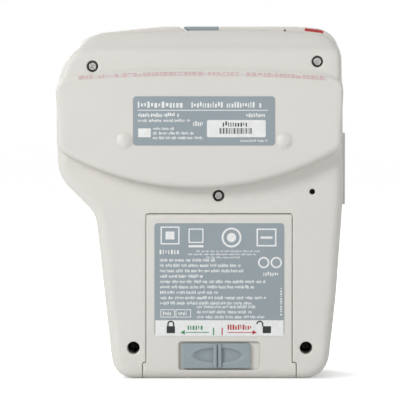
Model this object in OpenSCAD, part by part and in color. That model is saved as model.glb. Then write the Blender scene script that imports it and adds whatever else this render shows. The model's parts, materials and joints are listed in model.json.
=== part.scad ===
// Portable infusion pump, standing upright on its base edge.
// The keypad side faces -Y (front), the back faces +Y, Z is up, left is -X. Millimetres.
// X = 0 is the middle of the overall width, Y = 0 the parting plane of the case.

/* [Case] */
// Y of the back face of the lower body
rear_y = 21.5; // [18:0.5:26]
// Y of the back face of the raised hood
hood_y = 28.2; // [24:0.1:30]
// Y of the front face round the keys
front_y = -19; // [-24:0.5:-16]
// Moulded wall thickness of the case
wall = 2.2; // [1.6:0.1:3]
// Radius of the soft edge round the back
edge_r = 3.5; // [1:0.5:5]
// Height at which the case stops and the pump door's top strip begins
case_top = 121.9; // [118:0.1:124]
// Height of the top of the keypad body, under the pump door
body_top = 87.8; // [80:0.1:92]

/* [Battery bay] */
// X of the middle of the battery bay
bay_x = -6.2; // [-10:0.1:0]
// Radius of one C cell
cell_r = 12.8; // [12:0.1:13.1]
// Length of one C cell with its nub
cell_len = 50; // [48:0.5:50]
// Width of the battery door
bdoor_w = 51.4; // [48:0.2:56]
// Height of the battery door
bdoor_h = 58.2; // [50:0.1:62]
// Thickness of the battery door
bdoor_t = 2.6; // [2:0.1:3.5]
// Travel of the battery latch slider
slider_travel = 3; // [2:0.1:4]

/* [Pump drive] */
// Y of the camshaft axis
cam_y = -2.5; // [-5:0.1:0]
// Z of the camshaft axis and of the tube
cam_z = 104; // [100:0.5:106]
// Gear module
gear_m = 0.5; // [0.4:0.1:0.8]
// Teeth on the camshaft gear
cam_teeth = 46; // [40:1:50]
// Teeth on the motor pinion
pin_teeth = 18; // [17:1:24]
// Radius of one cam disc
cam_r = 5.5; // [4:0.1:6]
// Throw of one cam disc
cam_e = 0.8; // [0.4:0.1:1]
// Spacing of the pump fingers
finger_pitch = 5.6; // [5:0.1:6]
// Width of one pump finger
finger_w = 4.8; // [4:0.1:5]

/* [Keys] */
// Key width
key_w = 12.4; // [8:0.1:14]
// Key height
key_h = 9.8; // [6:0.1:12]
// Key spacing across
key_dx = 15; // [12:0.5:16]
// Key spacing up
key_dz = 14; // [11:0.5:16]
// Height of the lowest row of keys
key_z0 = 19; // [18:0.5:24]
// How far a key stands out of the front face
key_out = 1.3; // [0.5:0.1:2]

/* [Hidden] */

facets = 48;

// Colours shared by several pieces
case_ivory = [0.85, 0.84, 0.8];
latch_blue = [0.52, 0.57, 0.6];
label_blue = [0.6, 0.65, 0.69];
pin_steel = [0.7, 0.7, 0.72];
sensor_silver = [0.8, 0.8, 0.82];
soft_black = [0.12, 0.12, 0.13];
cell_black = [0.13, 0.13, 0.14];
finger_cream = [0.9, 0.9, 0.86];
key_grey = [0.7, 0.72, 0.73];

// Shapes: corners [x, z, radius], counter-clockwise seen from the front
base_and_right = [[-44.3, 0, 9], [31, 0, 8], [37.4, 58.3, 10], [50.8, 71.8, 13]];
shoulder = [[50.8, 103.3, 8], [48.2, 112.2, 12]];
left_side = [[-50.1, 66, 120], [-47.6, 30, 150]];
door_shape = concat(base_and_right, shoulder,
  [[39.5, 121.9, 9], [14, 124.5, 60], [-34, 124.5, 40], [-48.7, 122.8, 8]], left_side);
rear_shape = concat(base_and_right, shoulder,
  [[40.9, case_top - 1.3, 8], [6, case_top + 0.6, 150], [-24, case_top + 0.7, 150],
   [-48.75, case_top - 1, 9]], left_side);
// the front half sits a little lower under the door's top strip
front_shape = concat(base_and_right, shoulder,
  [[40.5, case_top - 1.8, 8], [6, case_top + 0.1, 150], [-24, case_top + 0.3, 150],
   [-48.75, case_top - 1, 9]], left_side);
keypad_shape = concat(base_and_right, [[50.8, body_top, 5], [-49.6, body_top, 5]], left_side);
hood_shape = [[0, 53.3, 97.2], [50.8, 81, 4], [50.8, 104.9, 5], [43, 107.4, 30],
  [1, 110, 400], [-43, 107.6, 22], [-49.4, 105.2, 4], [-49.6, 81.7, 4]];

// Screw places [x, z], and the Y under each group's heads
screws_top = [[38.2, 110.1], [-40.6, 111.8]];
screw_mid = [-6, 64.6];
screws_low = [[24, 10.9], [-36.9, 10.9]];
chassis_fix = [[-44.1, 95.5], [-33.5, 115.6], [13, 115.6]];
top_seat_y = 24;
mid_seat_y = 17.6;
low_seat_y = 6;
chassis_seat_y = -18;

// Battery bay
bdoor_left = bay_x - bdoor_w / 2;
bdoor_right = bay_x + bdoor_w / 2;
bdoor_gap = 0.25;
bdoor_inner_y = rear_y - bdoor_t;
foot_left = bdoor_left - 1.5;            // wider foot of the battery door
foot_right = bdoor_right + 1.2;
foot_top = 5.65;
bdoor_pin_y = rear_y - bdoor_t / 2;
bdoor_pin_z = bdoor_h - bdoor_t / 2;
bay_open_y = bdoor_inner_y - 0.35;
cell_y = bay_open_y - cell_r;
cell_left_x = bay_x - (cell_r + 0.15);
cell_right_x = bay_x + (cell_r + 0.15);

// Pump door hinge and latch lever
hinge_x = 47.1;
hinge_y = -14;
low_knuckle = [90.4, 94.8];              // Z ranges of the door's two knuckles
high_knuckle = [105.6, 109.5];
hinge_pin_r = 1;
lever_y = -22.5;
lever_z = 119.6;
lever_left = -5.7;
lever_right = 3.9;

// Pump drive
gear_dist = gear_m * (cam_teeth + pin_teeth) / 2;
motor_y = cam_y + gear_dist;
shaft_r = 2.5;
cheek_in = 20;                           // X of the chassis cheeks' faces
cheek_out = 23;
inlet_x = 34;
outlet_x = -30;

// Depths of the front stack
rim_y = -12.6;                           // front edge of the upper front case
chassis_back = -12.8;
board_front = -14.2;
board_back = -12.6;

// Lights, buzzer and ports
light_x = 41.5;
light_z = [82, 76.5, 71];
buzzer_x = -39.05;
buzzer_z = 66;
port_y = 8;                              // middle of the port panel
panel_half = 7;
panel_bottom = 61.4;
panel_top = 86.6;
port_face = -50.9;
dose_z = 66.5;
dose_r = 3;
power_z = 81;
power_r = 4;

function key_x(column) = bay_x + (column - 1.5) * key_dx;
function key_z(row) = key_z0 + row * key_dz;
function finger_x(number) = (number - 3.5) * finger_pitch;

// ---- outlines ----
function unit(vector) = vector / norm(vector);
function corner(shape, i) = let (count = len(shape), found = shape[(i + count) % count])
  [found[0], found[1]];
function inward(start, end) = let (along = unit(end - start)) [-along[1], along[0]];
function turned(v, angle) =
  [v[0] * cos(angle) - v[1] * sin(angle), v[0] * sin(angle) + v[1] * cos(angle)];
// inward normals of the edges before and after corner i
function normals(shape, i) = let (here = corner(shape, i))
  [inward(corner(shape, i - 1), here), inward(here, corner(shape, i + 1))];
// sine of the turn between two normals; positive at a convex corner
function bend(pair) = pair[0][0] * pair[1][1] - pair[0][1] * pair[1][0];
function corner_arc(shape, i, steps) = let (
    pair = normals(shape, i),
    cosine = pair[0] * pair[1],
    side = bend(pair) >= 0 ? 1 : -1,
    radius = shape[i][2],
    centre = corner(shape, i) + side * radius * (pair[0] + pair[1]) / (1 + cosine),
    sweep = atan2(bend(pair), cosine))
  [for (j = [0:steps]) centre - side * radius * turned(pair[0], sweep * j / steps)];
function outline(shape, steps = 5) =
  [for (i = [0:len(shape) - 1]) each corner_arc(shape, i, steps)];
// shape with every edge moved inward by distance
function inset(shape, distance) = [for (i = [0:len(shape) - 1]) let (
    pair = normals(shape, i),
    side = bend(pair) >= 0 ? 1 : -1,
    moved = corner(shape, i) + distance * (pair[0] + pair[1]) / (1 + pair[0] * pair[1]))
  [moved[0], moved[1], max(0.4, shape[i][2] - side * distance)]];

// ---- solids ----
module prism(points, front, back)
  translate([0, back, 0]) rotate([90, 0, 0]) linear_extrude(back - front) polygon(points);
module plate(shape, front, back, margin = 0) prism(outline(inset(shape, margin)), front, back);
module box(left, right, front, back, bottom, top)
  translate([left, front, bottom]) cube([right - left, back - front, top - bottom]);
// rods along one axis
module x_rod(left, right, radius, y, z)
  translate([left, y, z]) rotate([0, 90, 0]) cylinder(h = right - left, r = radius, $fn = facets);
module y_rod(front, back, radius, x, z)
  translate([x, back, z]) rotate([90, 0, 0]) cylinder(h = back - front, r = radius, $fn = facets);
module z_rod(bottom, top, radius, x, y)
  translate([x, y, bottom]) cylinder(h = top - bottom, r = radius, $fn = facets);
// the same Y rod at each [x, z] place
module y_rods(places, front, back, radius)
  for (p = places) y_rod(front, back, radius, p[0], p[1]);
// polygon given in (y, z), extruded along x
module side_prism(points, left, right)
  translate([left, 0, 0]) rotate([90, 0, 90]) linear_extrude(right - left) polygon(points);
// rounded rectangle seen from the front, extruded along y
module pad(left, right, bottom, top, radius, front, back)
  prism(outline([[left, bottom, radius], [right, bottom, radius],
                 [right, top, radius], [left, top, radius]], 4), front, back);
// shape from front to back, with a rounded edge at the back
module loft(shape, front, back, radius, steps = 5) {
  edge_steps = 3;
  // rings [y, inset]
  rings = concat([[front, 0], [back - radius, 0]],
    [for (k = [1:edge_steps]) let (angle = 90 * k / edge_steps)
      [back - radius + radius * sin(angle), radius * (1 - cos(angle))]]);
  count = len(outline(shape, steps));
  points = [for (ring = rings) each
    [for (v = outline(inset(shape, ring[1]), steps)) [v[0], ring[0], v[1]]]];
  last = (len(rings) - 1) * count;
  sides = [for (j = [0:len(rings) - 2], i = [0:count - 1])
    let (this = j * count, next = this + count, k = (i + 1) % count)
    each [[this + i, this + k, next + k], [this + i, next + k, next + i]]];
  polyhedron(
    points = points,
    faces = concat([[for (i = [0:count - 1]) count - 1 - i]], sides,
      [[for (i = [0:count - 1]) last + i]]),
    convexity = 6);
}
// loft with its rounded edge at the front
module loft_front(shape, front, back, radius) mirror([0, 1, 0]) loft(shape, -back, -front, radius);

// ---- involute gears ----
pressure_angle = 20;
backlash = 0.1;
function involute(angle) = tan(angle) * 180 / PI - angle;
// tooth flank as [radius, half angle] pairs
function flank(teeth) = let (
    pitch_r = gear_m * teeth / 2,
    base_r = pitch_r * cos(pressure_angle),
    tip_r = pitch_r + gear_m,
    root_r = pitch_r - 1.25 * gear_m,
    half = 90 / teeth - (backlash / 2) / pitch_r * 180 / PI + involute(pressure_angle),
    start_r = max(base_r, root_r))
  concat(base_r > root_r ? [[root_r, half]] : [],
    [for (k = [0:4]) let (r = start_r + (tip_r - start_r) * k / 4)
      [r, half - involute(acos(min(1, base_r / r)))]]);
function gear_points(teeth, turn) = let (side = flank(teeth), count = len(side))
  [for (i = [0:teeth - 1]) let (middle = 360 * i / teeth + turn) each concat(
    [for (k = [0:count - 1])
      side[k][0] * [cos(middle - side[k][1]), sin(middle - side[k][1])]],
    [for (k = [count - 1:-1:0])
      side[k][0] * [cos(middle + side[k][1]), sin(middle + side[k][1])]])];
module gear(teeth, turn, x, y, width)
  translate([x, y, cam_z]) rotate([90, 0, 90]) linear_extrude(width) polygon(gear_points(teeth, turn));

// ---- forms shared by several pieces ----
module back_slab(front = 0.2) loft(rear_shape, front, rear_y, edge_r);
module back_outer() {
  bump_r = 4.56;
  slope_y = hood_y - 2.2;
  difference() {
    union() {
      back_slab();
      loft(hood_shape, 14, hood_y, 0.8, steps = 12);
      // sloping top behind the hood's ridge
      intersection() {
        plate(rear_shape, 12, 30);
        side_prism([[11, 98], [hood_y - 1.3, 98], [hood_y - 1.3, 107.5], [slope_y, 116.3],
                    [13.8, 124], [11, 124]], -60, 60);
      }
      // bumps that stand out of the hood
      for (x = [27, -29.1])
        translate([x, hood_y + 1 - bump_r, 84]) sphere(r = bump_r, $fn = facets);
    }
    side_prism([[slope_y, 116.3], [35, 110.7], [35, 124], [13.8, 124]], -60, 60);
  }
}
module back_cavity() {
  plate(rear_shape, -1, rear_y - 2.4, wall);
  plate(hood_shape, 5, hood_y - 2.4, 2.6);
  intersection() {
    plate(rear_shape, -1, 30, wall + 0.3);
    side_prism([[-2, 92], [hood_y - 3.9, 92], [hood_y - 3.9, 106], [hood_y - 4.8, 114.4],
                [15.4, 119.4], [-2, 119.4]], -60, 60);
  }
}
module port_opening()
  box(-60, -46, port_y - panel_half - 0.1, port_y + panel_half + 0.1,
      panel_bottom - 0.1, panel_top + 0.1);
// display window enlarged by grow on each side
module window_pad(grow, radius, front, back)
  pad(-36.1 - grow, 24.1 + grow, 61.4 - grow, 83.6 + grow, radius, front, back);
// key face enlarged by grow on each side
module key_pad(column, row, grow, radius, front, back) {
  x = key_x(column);
  z = key_z(row);
  pad(x - key_w / 2 - grow, x + key_w / 2 + grow, z - key_h / 2 - grow, z + key_h / 2 + grow,
      radius, front, back);
}

// ---- case ----
module rear_case() color(case_ivory) difference() {
  pilot_r = 1.35;
  seat_bottom = bdoor_pin_z - 1.8;
  seat_top = bdoor_pin_z + 1.6;
  union() {
    difference() {
      back_outer();
      back_cavity();
    }
    // screw posts
    y_rods(screws_top, 0.2, 25.2, 3.2);
    y_rods([screw_mid], 0.2, rear_y - 1, 3.2);
    y_rods(screws_low, 0.2, rear_y - 1, 3.1);
    // seats for the battery door hinge pin
    box(bdoor_left - 4, bdoor_left - 1.5, 17.6, rear_y - 2, seat_bottom, seat_top);
    box(bdoor_right + 1.5, bdoor_right + 4, 17.6, rear_y - 2, seat_bottom, seat_top);
    // ring that holds the buzzer
    difference() {
      y_rod(15, rear_y - 2, 7.2, buzzer_x, buzzer_z);
      y_rod(10, rear_y - 2.3, 6.2, buzzer_x, buzzer_z);
    }
  }
  // battery door opening and the wider foot of the door
  box(bdoor_left - bdoor_gap, bdoor_right + bdoor_gap, bay_open_y, 40, 2.2, bdoor_h + bdoor_gap);
  box(foot_left - bdoor_gap, foot_right + bdoor_gap, bay_open_y, 40, -1, foot_top + bdoor_gap);
  x_rod(bdoor_left - 2.5, bdoor_right + 2.5, 0.62, bdoor_pin_y, bdoor_pin_z);
  // screw head wells and pilot holes
  y_rods(screws_top, top_seat_y, 40, 2.0);
  y_rods(screws_top, -1, top_seat_y + 1, pilot_r);
  y_rods([screw_mid], mid_seat_y, 40, 2.05);
  y_rods([screw_mid], -1, 19, pilot_r);
  y_rods(screws_low, low_seat_y, 40, 2.2);
  y_rods(screws_low, -1, low_seat_y + 2, pilot_r);
  // sound hole
  y_rod(10, 40, 1.0, buzzer_x, buzzer_z);
  port_opening();
}

module latch_nose_slot(back) box(-9.4, 4.8, -13, back, 116.5, 125);

module front_case() color(case_ivory) difference() {
  union() {
    difference() {
      union() {
        loft_front(keypad_shape, front_y, 0, 3);
        intersection() {
          plate(front_shape, rim_y, 0);
          box(-60, 60, -20, 1, 70, 130);
        }
      }
      plate(keypad_shape, front_y + wall, 1, wall);
      plate(rear_shape, rim_y - 0.01, 1, wall);
    }
    // screw posts
    y_rods([screw_mid], front_y + 1, 0, 3.2);
    y_rods(screws_low, front_y + 1, 0, 3.1);
    for (p = chassis_fix) intersection() {
      y_rod(rim_y, -4, p[1] > 115 ? 4.4 : 3.8, p[0], p[1]);
      plate(front_shape, -20, 0, 0.5);
    }
  }
  // gasket groove
  difference() {
    plate(rear_shape, -0.6, 1, 0.7);
    plate(rear_shape, -0.7, 2, 1.5);
  }
  // display opening with its rebate
  window_pad(0.1, 2.2, -30, front_y + 1.5);
  window_pad(-1.6, 1.2, -30, -10);
  for (c = [0:3], r = [0:2]) key_pad(c, r, 0.15, 2.15, -30, -10);
  for (z = light_z) y_rod(-30, -10, 1.62, light_x, z);
  y_rods(concat([screw_mid], screws_low), -7, 1, 1.2);
  y_rods(chassis_fix, -13, -6, 1.0);
  // swing room for the pump door round its hinge
  intersection() {
    z_rod(88, 130, 5.6, hinge_x, hinge_y);
    box(43.2, 60, -30, 0, 80, 130);
  }
  latch_nose_slot(0.1);
  port_opening();
}

module case_gasket() color([0.2, 0.2, 0.2]) difference() {
  plate(rear_shape, -0.55, 0.2, 0.75);
  plate(rear_shape, -1, 1, 1.45);
  latch_nose_slot(1);
}

// ---- battery bay ----
module battery_tray() color([0.25, 0.26, 0.27]) difference() {
  box(bay_x - 26.9, bay_x + 26.9, cell_y - cell_r - 1.2, bdoor_inner_y - 0.4, 2.6, 58.4);
  box(bay_x - 26.1, bay_x + 26.1, cell_y - cell_r - 0.3, 30, 3.6, 57.4);
}

// nub_up = false stands the cell on its nub
module cell(x, nub_up) {
  bottom = 6.3;
  shoulder_z = cell_len - 2;
  translate([x, cell_y, nub_up ? bottom : bottom + cell_len])
    mirror([0, 0, nub_up ? 0 : 1])
      rotate_extrude($fn = facets)
        polygon([[0, 0], [9.5, 0], [9.5, 0.4], [12.2, 0.4], [cell_r, 1], [cell_r, cell_len - 2.6],
                 [12.2, shoulder_z], [3.2, shoulder_z], [3.2, cell_len - 0.3], [2.9, cell_len],
                 [0, cell_len]]);
}
module battery_cell_a() color(cell_black) cell(cell_left_x, true);
module battery_cell_b() color(cell_black) cell(cell_right_x, false);

// conical coil spring standing on z = 0
module coil(start_r, end_r, height, turns, wire_r) {
  turn_steps = 12;
  sides = 6;
  steps = turns * turn_steps;
  points = [for (i = [0:steps]) let (
      part = i / steps,
      angle = 360 * turns * part,
      radius = start_r + (end_r - start_r) * part)
    each [for (j = [0:sides - 1]) let (around = 360 * j / sides, reach = radius + wire_r * cos(around))
      [reach * cos(angle), reach * sin(angle),
       wire_r + (height - 2 * wire_r) * part + wire_r * sin(around)]]];
  walls = [for (i = [0:steps - 1], j = [0:sides - 1])
    let (this = i * sides, next = this + sides, k = (j + 1) % sides)
    each [[this + j, next + k, next + j], [this + j, this + k, next + k]]];
  polyhedron(
    points = points,
    faces = concat([[for (j = [0:sides - 1]) sides - 1 - j]], walls,
      [[for (j = [0:sides - 1]) steps * sides + j]]),
    convexity = 6);
}
module battery_contacts() color([0.75, 0.76, 0.78]) {
  // negative springs: left one at the bottom, right one at the top
  translate([cell_left_x, cell_y, 4.1]) coil(7, 3.6, 2.15, 3, 0.3);
  translate([cell_right_x, cell_y, 57]) mirror([0, 0, 1]) translate([0, 0, 0.1])
    coil(7, 3.6, 0.6, 1, 0.2);
  box(cell_left_x - 8, cell_left_x + 8, cell_y - 6, cell_y + 6, 3.65, 4.05);
  // positive plate under the right cell, on its stem
  box(cell_right_x - 6, cell_right_x + 6, cell_y - 5, cell_y + 5, 5.7, 6.2);
  box(cell_right_x - 1.5, cell_right_x + 1.5, cell_y - 1.5, cell_y + 1.5, 3.65, 5.7);
  // strap that joins the two cells at the top
  box(cell_left_x - 6, cell_right_x + 8, cell_y - 5, cell_y + 5, 57.0, 57.35);
}

module battery_door_pin() color(pin_steel)
  x_rod(bdoor_left - 2.4, bdoor_right + 2.4, 0.6, bdoor_pin_y, bdoor_pin_z);

stem_left = -8.2;                        // stem of the latch slider
stem_right = -2.2;
module battery_door() color([0.86, 0.85, 0.81]) difference() {
  union() {
    intersection() {
      back_slab(10);
      union() {
        pad(bdoor_left, bdoor_right, 4.5, bdoor_pin_z, 0.4, bdoor_inner_y, 40);
        pad(foot_left, foot_right, 0, foot_top, 0.4, bdoor_inner_y, 40);
      }
    }
    x_rod(bdoor_left, bdoor_right, bdoor_t / 2, bdoor_pin_y, bdoor_pin_z);
  }
  x_rod(bdoor_left - 1, bdoor_right + 1, 0.65, bdoor_pin_y, bdoor_pin_z);
  // recess for the slider with its slot
  pad(-20.5, 8, 3.2, 13, 1.6, rear_y - 1.2, 40);
  box(stem_left - slider_travel - 0.2, stem_right + 0.3, 10, 40, 5.8, 9.2);
}
module battery_latch() color(latch_blue) difference() {
  union() {
    pad(-17.1, 6.8, 3.7, 12.5, 0.6, rear_y - 1.15, rear_y + 0.1);
    // grip: raised wall across the middle
    box(-7.4, -5.0, rear_y - 0.5, rear_y + 0.75, 3.95, 12.25);
    // stem through the slot, and the plate inside the door
    box(stem_left, stem_right, bdoor_inner_y - 0.9, rear_y - 0.9, 6, 9);
    box(-11, -1.6, bdoor_inner_y - 1.2, bdoor_inner_y - 0.1, 5.2, 9.8);
  }
  box(-6.35, -6.05, rear_y + 0.2, rear_y + 2, 3, 13);
  // thumb scoops
  for (x = [0.6, -11.6])
    translate([x, rear_y + 5.6, 8.1]) scale([1, 1, 1.05]) sphere(r = 6.2, $fn = facets);
}

// ---- labels ----
label_t = 0.15;
module rating_label() color(label_blue) pad(-25.7, 24, 82.4, 99.6, 1.1, hood_y, hood_y + label_t);
module battery_label() color(label_blue) pad(-29.1, 16.6, 15.1, 54.9, 1.1, rear_y, rear_y + label_t);

// height of the tape's top edge, on the hood's arched ridge
function ridge(x) = 107.9 - pow(x - 1, 2) / 1230;
module seal_tape() color([0.9, 0.75, 0.75]) {
  left = -43.8;
  right = 43.1;
  step = 86.9 / 16;
  prism(concat([for (i = [0:16]) let (x = left + i * step) [x, ridge(x) - 1.1]],
               [for (i = [0:16]) let (x = right - i * step) [x, ridge(x)]]),
        hood_y, hood_y + 0.12);
}

// ---- screws ----
// screw pointing to the front; y is the underside of the head, turn the angle of its cross
module screw(place, y, head_r, head_h, shank_r, length, turn = 0) {
  x = place[0];
  z = place[1];
  bevel = 0.5;
  difference() {
    union() {
      y_rod(y, y + head_h - bevel, head_r, x, z);
      translate([x, y + head_h - bevel, z]) rotate([-90, 0, 0])
        cylinder(h = bevel, r1 = head_r, r2 = head_r - 0.45, $fn = facets);
      y_rod(y - length, y, shank_r, x, z);
    }
    // cross recess
    for (a = [turn, turn + 90])
      translate([x, y + head_h, z]) rotate([0, a, 0])
        cube([head_r * 1.3, 1.9, 0.55], center = true);
  }
}
module case_screws() color([0.72, 0.72, 0.74]) {
  for (i = [0, 1]) screw(screws_top[i], top_seat_y, 1.62, 1.9, 1.2, 30, [25, 60][i]);
  screw(screw_mid, mid_seat_y, 1.65, 2, 1.2, 24, 40);
  for (i = [0, 1]) screw(screws_low[i], low_seat_y, 1.85, 2, 1.2, 12.5, [10, 75][i]);
}
module chassis_screws() color([0.5, 0.5, 0.52])
  for (p = chassis_fix) mirror([0, 1, 0]) screw(p, -chassis_seat_y, 1.9, 1.6, 1.0, 11.5);

// ---- pump door ----
module door_shell() {
  difference() {
    union() {
      intersection() {
        loft_front(door_shape, -29.2, -13, 5);
        box(-60, 60, -40, 0, 88.2, 130);
      }
      // strip that reaches over the top edge of the case
      intersection() {
        difference() {
          plate(door_shape, -13.5, 2);
          plate(rear_shape, -14, 3, -0.2);
        }
        box(-60, 60, -40, 10, 114, 130);
      }
    }
    intersection() {
      plate(door_shape, -26.4, -12.9, 2.8);
      box(-60, 60, -40, 0, 90.5, 130);
    }
  }
}
module pump_door() color([0.88, 0.87, 0.84]) difference() {
  slot_left = lever_left - 0.3;
  slot_right = lever_right + 0.3;
  union() {
    door_shell();
    // hinge knuckles joined to the end wall
    for (z = [low_knuckle, high_knuckle]) {
      z_rod(z[0], z[1], 2.9, hinge_x, hinge_y);
      box(hinge_x, 48.6, hinge_y - 2.9, hinge_y + 1, z[0], z[1]);
    }
    // lugs for the lever pin
    for (x = [[-9.7, -6], [4.2, 7.9]])
      box(x[0], x[1], -27, lever_y + 2.1, lever_z - 3.2, 122.4);
    // ribs that carry the platen
    for (x = [-17, 0, 17]) box(x - 0.8, x + 0.8, -27, -26.2, 95, 113);
  }
  z_rod(80, 110, hinge_pin_r + 0.05, hinge_x, hinge_y);
  // relief for the chassis knuckle
  z_rod(low_knuckle[1], high_knuckle[0], 2.45, hinge_x, hinge_y);
  x_rod(-9, 7.2, 1.05, lever_y, lever_z);
  // slot for the latch lever and the swing of its hub
  box(slot_left, slot_right, -26.2, -19.9, 110, 130);
  prism([[-6.5, 110], [4.7, 110], [4.7, 122.5], [10.5, 126], [-6.5, 126]], -20, 3);
  prism([[-6.6, 122.6], [4.9, 122.6], [10.5, 126], [-6.6, 126]], -26.2, -19.9);
  x_rod(slot_left, slot_right, 5.1, lever_y, lever_z);
  // room to swing over the corner of the case
  box(32.5, 60, -12.9, 3, 100, 121.05);
  // small notch in the strip
  box(-30.1, -29.5, -2, 3, 122, 123.4);
  // tube notches in both end walls
  for (x = [[-60, -45], [45, 60]]) box(x[0], x[1], -24.6, -12, cam_z - 2.3, cam_z + 2.3);
}
module platen() color([0.72, 0.73, 0.74]) pad(-20, 20, cam_z - 6, cam_z + 6, 1.5, -26.2, -24.4);
module latch_pin() color(pin_steel) x_rod(-8.9, 7.1, 1.0, lever_y, lever_z);
// arrow on top of the door's strip, pointing left
module flow_mark() color([0.75, 0.12, 0.1]) translate([0, 0, 0.02]) intersection() {
  difference() {
    plate(door_shape, -8, 1.9, -0.12);
    plate(door_shape, -9, 3);
  }
  translate([0, 0, 115]) linear_extrude(20)
    polygon([[-37, -5.5], [-41, -5.5], [-41, -7.4], [-44.2, -3.2], [-41, 1], [-41, -0.9],
             [-37, -0.9]]);
}
module door_latch() color(latch_blue) difference() {
  hub_r = 2.4;
  top = 124.3;
  union() {
    x_rod(lever_left, lever_right, hub_r, lever_y, lever_z);
    intersection() {
      box(lever_left, lever_right, lever_y - 4, lever_y + hub_r, lever_z, top);
      x_rod(lever_left, lever_right, 4.85, lever_y, lever_z);
      box(lever_left, lever_right, lever_y - hub_r, 0, 110, 130);
    }
    box(lever_left, lever_right, lever_y, lever_y + hub_r, lever_z, top);
    // lever plate
    box(lever_left, lever_right, lever_y, -18.5, 122.1, top);
    prism([[-6.2, 122.8], [4.1, 122.8], [6.6, top], [-6.2, top]], -19.5, 1.7);
    // latch nose
    box(lever_left, lever_right, -2.6, -0.6, case_top - 1.5, 123);
    // finger ridge at the free end
    box(-6.2, 6, 0.5, 1.7, 124, 124.5);
  }
  x_rod(-7, 5, 1.05, lever_y, lever_z);
  // grip grooves
  for (y = [-16, -13, -10]) x_rod(-7, 8, 0.5, y, 124.5);
}
module door_hinge_pin() color(pin_steel)
  z_rod(low_knuckle[0], high_knuckle[1], hinge_pin_r, hinge_x, hinge_y);

// ---- pump chassis and drive ----
module chassis_pan() difference() {
  intersection() {
    plate(rear_shape, -20, chassis_back, 3.6);
    box(-60, 60, -30, 0, 90.8, 130);
  }
  intersection() {
    plate(rear_shape, -17, -12, 5.6);
    box(-60, 60, -30, 0, 92.8, 130);
  }
  intersection() {
    z_rod(80, 130, 5.8, hinge_x, hinge_y);
    box(42.4, 60, -30, 0, 80, 130);
  }
}
module chassis() color([0.35, 0.36, 0.38]) difference() {
  rib_y = -17.5;                         // ribs start inside the pan's face
  knuckle_bottom = low_knuckle[1] + 0.2;
  knuckle_top = high_knuckle[0] - 0.2;
  union() {
    chassis_pan();
    // cheeks for the camshaft; the right one also carries the motor
    box(cheek_in, cheek_out, rib_y, 22, 95, 113);
    box(-cheek_out, -cheek_in, rib_y, 6, 95, 113);
    y_rods(screws_top, rib_y, 0, 3.2);
    intersection() {
      y_rods(chassis_fix, rib_y, chassis_back, 3.2);
      plate(rear_shape, -18, -12, 3.8);
    }
    // strike arm under the top edge, with the upstand the latch nose drops behind
    box(-9, 4.4, rib_y, -1, 114.2, 116.3);
    box(-9, 4.4, -4.6, -2.9, 116.2, case_top - 1.6);
    // hinge knuckle
    z_rod(knuckle_bottom, knuckle_top, 2.2, hinge_x, hinge_y);
    box(39, hinge_x, rib_y, -13.2, knuckle_bottom, knuckle_top);
  }
  z_rod(80, 120, 1.02, hinge_x, hinge_y);
  // finger window, bearing bores and motor boss hole
  pad(-17.3, 17.3, cam_z - 4.4, cam_z + 4.4, 0.5, -21, -16);
  x_rod(-24, 24, 5.02, cam_y, cam_z);
  x_rod(19, 24, 3, motor_y, cam_z);
  // screw holes
  y_rods(screws_top, -8, 1, 1.2);
  y_rods(chassis_fix, -13.8, -12, 1.1);
  y_rods(chassis_fix, -18, -12, 1.1);
  y_rods(chassis_fix, -21, chassis_seat_y, 2.0);
  // openings for the pressure sensors and the air detector
  for (x = [outlet_x, inlet_x]) y_rod(-21, -16, 2.7, x, cam_z);
  box(-43.2, -36.8, -21, -16, cam_z - 3.4, cam_z + 3.4);
}
module finger_guide() color([0.86, 0.86, 0.83]) difference() {
  slot_half = finger_w / 2 + 0.1;
  box(-19.8, 19.8, -16.9, -11, cam_z - 6.5, cam_z + 6.5);
  for (i = [1:6])
    box(finger_x(i) - slot_half, finger_x(i) + slot_half, -18, -10, cam_z - 4.1, cam_z + 4.1);
}
module cam_bearings() color([0.75, 0.75, 0.77]) for (x = [-cheek_out, cheek_in]) difference() {
  union() {
    x_rod(x, x + 3, 5, cam_y, cam_z);
    // flange on the outer face
    x_rod(x > 0 ? x + 3 : x - 0.4, x > 0 ? x + 3.4 : x, 5.8, cam_y, cam_z);
  }
  x_rod(x - 1, x + 4, shaft_r + 0.05, cam_y, cam_z);
}
module camshaft() color([0.8, 0.8, 0.78]) union() {
  x_rod(-30, 29, shaft_r, cam_y, cam_z);
  for (i = [1:6]) let (x = finger_x(i), a = (i - 1) * 60)
    x_rod(x - 2.3, x + 2.3, cam_r, cam_y + cam_e * cos(a), cam_z + cam_e * sin(a));
}
module finger(number) {
  x = finger_x(number);
  half = finger_w / 2;
  nose_half = half - 0.4;
  back = cam_y - cam_r - cam_e - 0.2;
  difference() {
    union() {
      box(x - half, x + half, -19.2, back, cam_z - 4, cam_z + 4);
      // narrow rounded nose that squeezes the tube
      intersection() {
        box(x - nose_half, x + nose_half, -19.9, -19, cam_z - 4, cam_z + 4);
        x_rod(-30, 30, 8.5, -11.4, cam_z);
      }
    }
    box(x - 0.5, x + 0.5, back - 1, back + 1, cam_z - 5, cam_z + 5);
  }
}
module finger_1() color(finger_cream) finger(1);
module finger_2() color(finger_cream) finger(2);
module finger_3() color(finger_cream) finger(3);
module finger_4() color(finger_cream) finger(4);
module finger_5() color(finger_cream) finger(5);
module finger_6() color(finger_cream) finger(6);

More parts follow.
